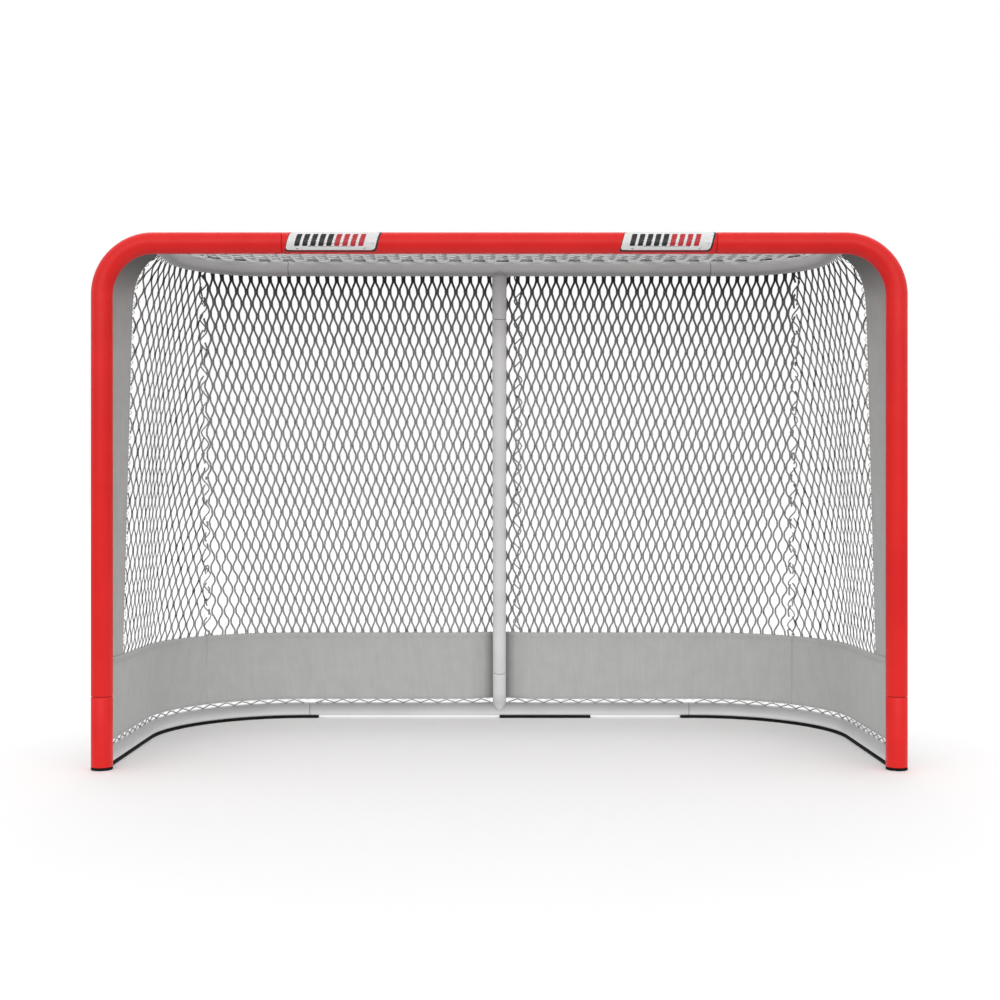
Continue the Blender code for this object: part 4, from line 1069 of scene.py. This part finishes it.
def net_tree():
    """Lays zigzag cords on a flat sheet, then bends them on to a surface by its flat map."""
    spans = ("Cell width", "Cell height", "Cord", "Side by side", "Low", "Height", "Level")
    tree, given = node_tree(
        "knotless_net", Float=(*spans, "Unevenness", "Stoutest"),
        Int=("First cord", "Cords", "Points", "Seed"), Object=("Surface",), Material=("Cord material",),
    )

    def place():
        return result(tree, "GeometryNodeInputPosition")

    def on_sheet(value, spot, kind):
        """A value of the surface, its flat map's spot, and whether the spot is on it."""
        where = {"Mesh": sheet, "UV_Map": marked(tree, "UVMap"), "Sample_UV": spot}
        return add(tree, "GeometryNodeSampleUVSurface", Value=value, **where, data_type=kind).outputs

    sheet = add(tree, "GeometryNodeObjectInfo", Object=given["Surface"]).outputs["Geometry"]
    half_cell = numbers(tree, "MULTIPLY", given["Cell width"], 0.5)

    # Upright lines of points, one for each cord, half a cell apart.
    start = result(tree, "ShaderNodeCombineXYZ", Y=given["Low"])
    end = result(tree, "ShaderNodeCombineXYZ", Y=numbers(tree, "ADD", given["Low"], given["Height"]))
    upright = result(tree, "GeometryNodeCurvePrimitiveLine", Start=start, End=end)
    stations = result(tree, "GeometryNodeResampleCurve", Curve=upright, Count=given["Points"])
    apart = result(tree, "ShaderNodeCombineXYZ", X=half_cell)
    row = result(tree, "GeometryNodeMeshLine", Count=given["Cords"], Offset=apart)
    copies = result(tree, "GeometryNodeInstanceOnPoints", Points=row, Instance=stations)
    cords = result(tree, "GeometryNodeRealizeInstances", Geometry=copies)

    # Each cord swings between its two neighbours, and runs straight beside each for a while.
    index = add(tree, "GeometryNodeCurveOfPoint").outputs["Curve Index"]
    which = numbers(tree, "ADD", index, given["First cord"])
    height = add(tree, "ShaderNodeSeparateXYZ", Vector=place()).outputs["Y"]
    risen = numbers(tree, "SUBTRACT", height, given["Level"])
    cycles = numbers(tree, "DIVIDE", risen, given["Cell height"])
    shifted = numbers(tree, "ADD", cycles, numbers(tree, "MULTIPLY", which, 0.5))
    swing = numbers(tree, "MULTIPLY", numbers(tree, "PINGPONG", shifted, 0.5), 2.0)
    joined = numbers(tree, "DIVIDE", given["Side by side"], given["Cell height"])
    parted = numbers(tree, "SUBTRACT", 1.0, joined)
    curved = ranged(tree, swing, joined, parted, interpolation_type="SMOOTHSTEP")
    straight = ranged(tree, swing, joined, parted)
    share = [numbers(tree, "MULTIPLY", curved, 0.35), numbers(tree, "MULTIPLY", straight, 0.65)]
    packed = numbers(tree, "MULTIPLY", given["Cord"], 0.43)
    near = numbers(tree, "ADD", numbers(tree, "MULTIPLY", which, half_cell), packed)
    reach = numbers(tree, "SUBTRACT", half_cell, numbers(tree, "MULTIPLY", packed, 2.0))
    across = numbers(tree, "ADD", near, numbers(tree, "MULTIPLY", numbers(tree, "ADD", *share), reach))
    flat = result(tree, "ShaderNodeCombineXYZ", X=across, Y=height)

    # The lie is a little uneven, and looser beside the seams.
    seeded = vectors(tree, "ADD", flat, result(tree, "ShaderNodeCombineXYZ", Z=given["Seed"]))
    wobble = add(tree, "ShaderNodeTexNoise", Vector=seeded, Scale=45.0, Detail=2.0)
    uneven = vectors(tree, "SUBTRACT", wobble.outputs["Color"], (0.5, 0.5, 0.5))
    uneven = vectors(tree, "SCALE", uneven, Scale=given["Unevenness"])
    slack = on_sheet(marked(tree, "slack", "FLOAT"), flat, "FLOAT")["Value"]
    loose = vectors(tree, "ADD", flat, vectors(tree, "SCALE", uneven, Scale=slack))
    steady_spot, loose_spot = (on_sheet(place(), spot, "FLOAT_VECTOR") for spot in (flat, loose))
    pick = loose_spot["Is Valid"], steady_spot["Value"], loose_spot["Value"]
    spot = result(tree, "GeometryNodeSwitch", *pick, input_type="VECTOR")
    normal = add(tree, "GeometryNodeInputNormal").outputs["Normal"]
    facing = on_sheet(normal, flat, "FLOAT_VECTOR")["Value"]

    # Points beyond the panel are cut off, and the rest move to their places on it.
    aimed = mark(tree, cords, "spot", spot, "FLOAT_VECTOR")
    aimed = mark(tree, aimed, "on_panel", steady_spot["Is Valid"], "BOOLEAN")
    aimed = mark(tree, aimed, "facing", facing, "FLOAT_VECTOR")
    bare_lines = result(tree, "GeometryNodeCurveToMesh", Curve=aimed)
    beyond = marked(tree, "on_panel", "BOOLEAN")
    beyond = result(tree, "FunctionNodeBooleanMath", beyond, operation="NOT")
    trimmed = result(tree, "GeometryNodeDeleteGeometry", Geometry=bare_lines, Selection=beyond)
    cut_cords = result(tree, "GeometryNodeMeshToCurve", Mesh=trimmed)
    hung = result(tree, "GeometryNodeSetPosition", Geometry=cut_cords, Position=marked(tree, "spot"))
    facing = marked(tree, "facing")
    turned = result(tree, "GeometryNodeSetCurveNormal", Curve=hung, Normal=facing, mode="FREE")

    # A flattened cord follows each line, a little stouter towards the shelf, with its own map.
    along = add(tree, "GeometryNodeSplineParameter").outputs
    ran = mark(tree, turned, "along", along["Length"])
    half_cord = numbers(tree, "MULTIPLY", given["Cord"], 0.5)
    section = result(tree, "GeometryNodeCurvePrimitiveCircle", Resolution=6, Radius=half_cord)
    section = result(tree, "GeometryNodeTransform", Geometry=section, Scale=(0.46, 1.0, 1.0))
    section = mark(tree, section, "around", along["Factor"])
    height = add(tree, "ShaderNodeSeparateXYZ", Vector=place()).outputs["Z"]
    stout = ranged(tree, height, 1.02, 1.22, 1.0, given["Stoutest"])
    profile = {"Profile_Curve": section, "Scale": stout, "Fill_Caps": True}
    cord_skin = result(tree, "GeometryNodeCurveToMesh", Curve=ran, **profile)
    length = numbers(tree, "MULTIPLY", marked(tree, "along", "FLOAT"), 60.0)
    cord_map = result(tree, "ShaderNodeCombineXYZ", X=marked(tree, "around", "FLOAT"), Y=length)
    mapped = mark(tree, cord_skin, "UVMap", cord_map, "FLOAT2", "CORNER")
    close_tree(tree, mapped, given["Cord material"])
    return tree


knotless = net_tree()


def net_surface(rows):
    """A bare surface through rows of (place, flat place), which a net is laid on.

    The cords lie slack beside its seams, which are the ends of the rows that aren't at zero.
    """
    mesh = bpy.data.meshes.new("net_surface")
    width = len(rows[0])
    cells = [cell for row in rows for cell in row]
    starts = [r * width + i for r in range(len(rows) - 1) for i in range(width - 1)]
    faces = [(i, i + 1, i + 1 + width, i + width) for i in starts]
    mesh.from_pydata([place for place, _ in cells], [], faces)
    uv = mesh.uv_layers.new(name="UVMap")
    for loop in mesh.loops:
        uv.data[loop.index].uv = cells[loop.vertex_index][1]
    slack = []
    for row in rows:
        seams = [end for end in (row[0][1][0], row[-1][1][0]) if abs(end) > 0.01]
        for _, flat in row:
            away = min(abs(flat[0] - end) for end in seams)
            slack.append(1 + 2.0 * math.exp(-((away / 0.020) ** 2)))
    carry(mesh, "slack", slack)
    return bpy.data.objects.new("net_surface", mesh)


def hang_net(node, rows, across, up, level, seed, finish, width=cord_width, stoutest=1.0):
    """Covers a panel's flat extent, across and up, with cords that share the goal's one pattern."""
    surface = net_surface(rows)
    first = math.floor(across[0] / (cell_width / 2)) - 1
    count = math.ceil(across[1] / (cell_width / 2)) + 1 - first
    halves = math.ceil((up[1] - up[0]) / (cell_height / 2))
    values = {
        "Cell width": cell_width, "Cell height": cell_height, "Cord": width, "Side by side": side_by_side,
        "First cord": first, "Cords": count, "Low": up[0], "Height": up[1] - up[0],
        "Points": halves * 6 + 1, "Level": level, "Unevenness": 0.0032, "Stoutest": stoutest,
        "Seed": seed, "Surface": surface, "Cord material": finish,
    }
    name = f"{node}ting"
    mark_painted_shade_side(run_tree(name, bpy.data.meshes.new(name), knotless, values, "net_cord", node))
    bpy.data.objects.remove(surface)


def net_place(turn, z, side):
    """The net hangs on the wall, and outside the skirt's hem where it overlaps it."""
    over = over_hem * held((skirt_top + hem_overlap - z) / hem_overlap)
    return wall_point(turn, z, side) + wall_out(turn, z, side) * over


net_levels = spread(net_low, net_high, 0.012)
for name, side in both_sides:
    rows = []
    for z in net_levels:
        straight, corner = side_runs(z)
        row = []
        for share in spread(0, 1, 0.02):
            run = (straight + corner - seam_gap) * share
            turn = run / straight if run <= straight else 1 + (run - straight) / (2 * corner)
            flat_x = side_start + run * (side_gather + gather_per_metre * z)
            row.append((net_place(turn, z, side), (flat_x, z)))
        rows.append(row)
    reach = max(sum(side_runs(net_low)), 0.2)
    sizes = ((0, reach), (net_low, net_high), node_level, 3 + side)
    hang_net(f"{name}_side_net", rows, *sizes, side_cord, side_cord_width)
for name, side in both_sides:
    rows = []
    for z in net_levels:
        straight, corner = back_runs(z)
        end = side * (straight + corner - seam_gap)
        row = []
        for share in spread(0, 1, 0.008):
            run = mix(back_join - side * join_lap, end, share)
            length = abs(run)
            near_seam = (max(0.0, pull_reach - abs(end - run)) / pull_width) ** 2
            pulled = corner_pull * ((pull_top - z) / pull_fall) ** 1.5 * near_seam
            turn = 3 - length / straight if length <= straight else 2 - (length - straight) / (2 * corner)
            row.append((net_place(turn, z, math.copysign(1, run)), (run + back_shift - side * pulled, z)))
        rows.append(row)
    reach = sum(back_runs(net_low))
    across = (back_join, reach) if side > 0 else (-reach, back_join)
    sizes = (across, (net_low, net_high), node_level, 7 + side)
    hang_net(f"{name}_back_net", rows, *sizes, cord, stoutest=1.2)

top_front = front_y + hem_reach * math.cos(hem_angle) + 0.0014
top_back = front_y + shelf_depth


def shelf_edge(past, straight):
    """The shelf's half width or depth, at a way past the start of its bends."""
    return straight + math.sqrt(max(shelf_bend**2 - max(0.0, past) ** 2, 0.0))


rows = []
for y in spread(top_front, top_back, 0.006):
    half = shelf_edge(y - (top_back - shelf_bend), shelf_x - shelf_bend)
    rows.append([(Vector((half * s, y, bar_z + net_off)), (y, half * s)) for s in spread(-1, 1, 0.02)])
hang_net("top_net", rows, (top_front, top_back), (-shelf_x, shelf_x), 0.0, 13, top_cord)

# Ropes and twine: a border rope runs along the nets' top edges, and a pale rope lies in loops under the
# top net. The net's own cord sews its panels together, and light twine stitches and lashes the hems.
rope_width = 0.0050
loop_half_width, loop_length, loop_squareness, loop_phase = 0.0152, 0.104, 0.55, 0.65
loop_inset, loop_drop = 0.132, 0.0060
tree, given = node_tree(
    "lashed_twine", Float=("Spacing", "Sideways", "Outwards", "Over the tube", "Twine"),
    Int=("Points in a turn",), Material=("Twine material",),
)
path = result(tree, "GeometryNodeMeshToCurve", Mesh=given["Geometry"])
each = numbers(tree, "DIVIDE", given["Spacing"], given["Points in a turn"])
even = result(tree, "GeometryNodeResampleCurve", Curve=path, Length=each, mode="LENGTH")
number = add(tree, "GeometryNodeSplineParameter").outputs["Index"]
turns = numbers(tree, "DIVIDE", number, given["Points in a turn"])
turns = numbers(tree, "MULTIPLY", turns, 2 * math.pi)
sine = numbers(tree, "SINE", turns)
beside = numbers(tree, "MULTIPLY", numbers(tree, "COSINE", turns), given["Sideways"])
over = numbers(tree, "MULTIPLY", numbers(tree, "ABSOLUTE", sine), given["Over the tube"])
above = numbers(tree, "ADD", numbers(tree, "MULTIPLY", sine, given["Outwards"]), over)
sideways = vectors(tree, "SCALE", marked(tree, "across"), Scale=beside)
outwards = vectors(tree, "SCALE", marked(tree, "out"), Scale=above)
shift = vectors(tree, "ADD", sideways, outwards)
laid = result(tree, "GeometryNodeSetPosition", Geometry=even, Offset=shift)
close_tree(tree, swept(tree, laid, given["Twine"], 6), given["Twine material"])
lashed = tree


def lash(name, paths, material, spacing, width, sideways=0.0, outwards=0.0, over_tube=0.0, points=6):
    """Runs twine along paths of (place, sideways, outwards), in turns of the given sizes."""
    mesh = lines_mesh(name, [[place for place, _, _ in path] for path in paths])
    for key, pick in (("across", 1), ("out", 2)):
        carry(mesh, key, [c for path in paths for spot in path for c in spot[pick]], "FLOAT_VECTOR")
    values = {"Spacing": spacing, "Points in a turn": points, "Sideways": sideways, "Outwards": outwards}
    values |= {"Over the tube": over_tube, "Twine": width, "Twine material": material}
    mark_painted_shade_side(run_tree(name, mesh, lashed, values, "net_cord"))


def up_the_wall(side, turn_at, top, step):
    """A path up the wall from the skirt, for a cord that passes from side to side of it."""
    path = []
    for z in spread(skirt_top, top, step):
        out = wall_out(turn_at(z), z, side)
        path.append((wall_point(turn_at(z), z, side), out.cross(Z), out))
    return path


def round_the_wall(z, first=-0.97, lift=0.0):
    """A level path on the wall, for twine that passes up and down over it."""
    path = []
    for side, turn in round_the_back(spread(first, 3, 0.03)):
        out = wall_out(turn, z, side)
        path.append((wall_point(turn, z, side) + out * lift, Z, out))
    return path


twine = cord_finish("sewing_twine", (0.42, 0.42, 0.42), (0.70, 0.70, 0.70))
# Painted shade: the twine darkens towards the shelf on the side that faces into the goal.
paint_inner_shade(twine, "Z", [(1.00, 1.0), (1.14, 0.50), (1.20, 0.20), (1.25, 0.10)])
hem_lines = [round_the_wall(skirt_top - below, lift=-0.0006) for below in (0.0095, 0.0155)]
lash("skirt_hem_stitches_inside", hem_lines, canvas, 0.0252, 0.0010, sideways=0.0018)
hem_lines = [round_the_wall(skirt_top - 0.004, 0.02, lift=0.0040)]
lash("skirt_hem_stitches_outside", hem_lines, twine, 0.0126, 0.0014, sideways=0.0055, outwards=0.0032)
seam_lines = [up_the_wall(side, lambda z: corner_seam, bar_z - 0.004, 0.03) for side in (1, -1)]
seam_lines.append(up_the_wall(1, lambda z: 3 - back_join / back_runs(z)[0], bar_z - 0.004, 0.03))
lash("net_seam_cord", seam_lines, cord, cell_height, 0.0040, sideways=0.0110, outwards=0.0024, points=8)
flap_lines = [up_the_wall(side, lambda z: 0.0, bar_z - 0.012, 0.02) for side in (1, -1)]
lash("flap_edge_twine", flap_lines, twine, 0.0206, 0.0016, sideways=0.0055, outwards=0.0034)

shelf_lashing, wall_rope, top_rope = [], [], []
for side, turn in round_the_back(spread(0, 3, 0.04)):
    out = wall_out(turn, bar_z, side)
    axis = wall_point(turn, bar_z, side) - out * net_off
    outer = axis + (out + Z) * (net_off / 2)
    shelf_lashing.append((outer, (out - Z).normalized(), (out + Z).normalized()))
    wall_rope.append((axis + out * net_off - Z * 0.003, Z, out))
    top_rope.append((axis + Z * net_off - out * 0.003, out, Z))
lash("shelf_lashing", [shelf_lashing], twine, 0.0504, 0.0018, sideways=0.0165, over_tube=0.0052, points=8)
lash("net_edge_ropes", [wall_rope, top_rope], cord, 0.02, rope_width, points=2)
shelf_rope = cord_finish("bleached_rope", (0.90, 0.90, 0.90), (0.98, 0.98, 0.98), 0.9)
loops = []
for number in range(-13, 13):
    for step in range(13):
        a = math.pi * (1 + step / 12)
        swing, drop = abs(math.cos(a)) ** loop_squareness, abs(math.sin(a)) ** loop_squareness
        x = (number + loop_phase) * cell_height + loop_half_width * math.copysign(swing, math.cos(a))
        y = shelf_edge(abs(x) - (shelf_x - shelf_bend), top_back - shelf_bend) - loop_inset
        loops.append((Vector((x, y + loop_length * drop, bar_z + net_off - loop_drop)), X, Z))
lash("shelf_loop_rope", [loops], shelf_rope, 0.006, 0.0066, points=2)
hem_back = X.cross(hem_way)
bar_hem = [Vector((x, front_y, bar_z)) + hem_way * hem_reach for x in spread(-0.80, 0.80, 0.02)]
bar_line = [(place, hem_way, hem_back) for place in bar_hem]
lash("crossbar_lashing", [bar_line], twine, 0.0252, 0.0016, sideways=0.0036, outwards=0.0036)
front_rope = [(place + Y * 0.002, across, out) for place, across, out in bar_line]
lash("top_net_front_rope", [front_rope], cord, 0.02, rope_width, points=2)
post_lines = []
for side in (1, -1):
    line = [post_axis(run) + Y * (hem_reach + 0.0006) for run in spread(0.06, post_run, 0.02)]
    post_lines.append([(flipped(p, side), Y, X * side) for p in line])
lash("post_lashing", post_lines, twine, 0.0252, 0.0014, sideways=0.0038, outwards=0.0028)
base_line = round_the_wall(skirt_bottom)
lash("base_lashing", [base_line], twine, 0.0252, 0.0012, sideways=0.0034, outwards=0.0024)
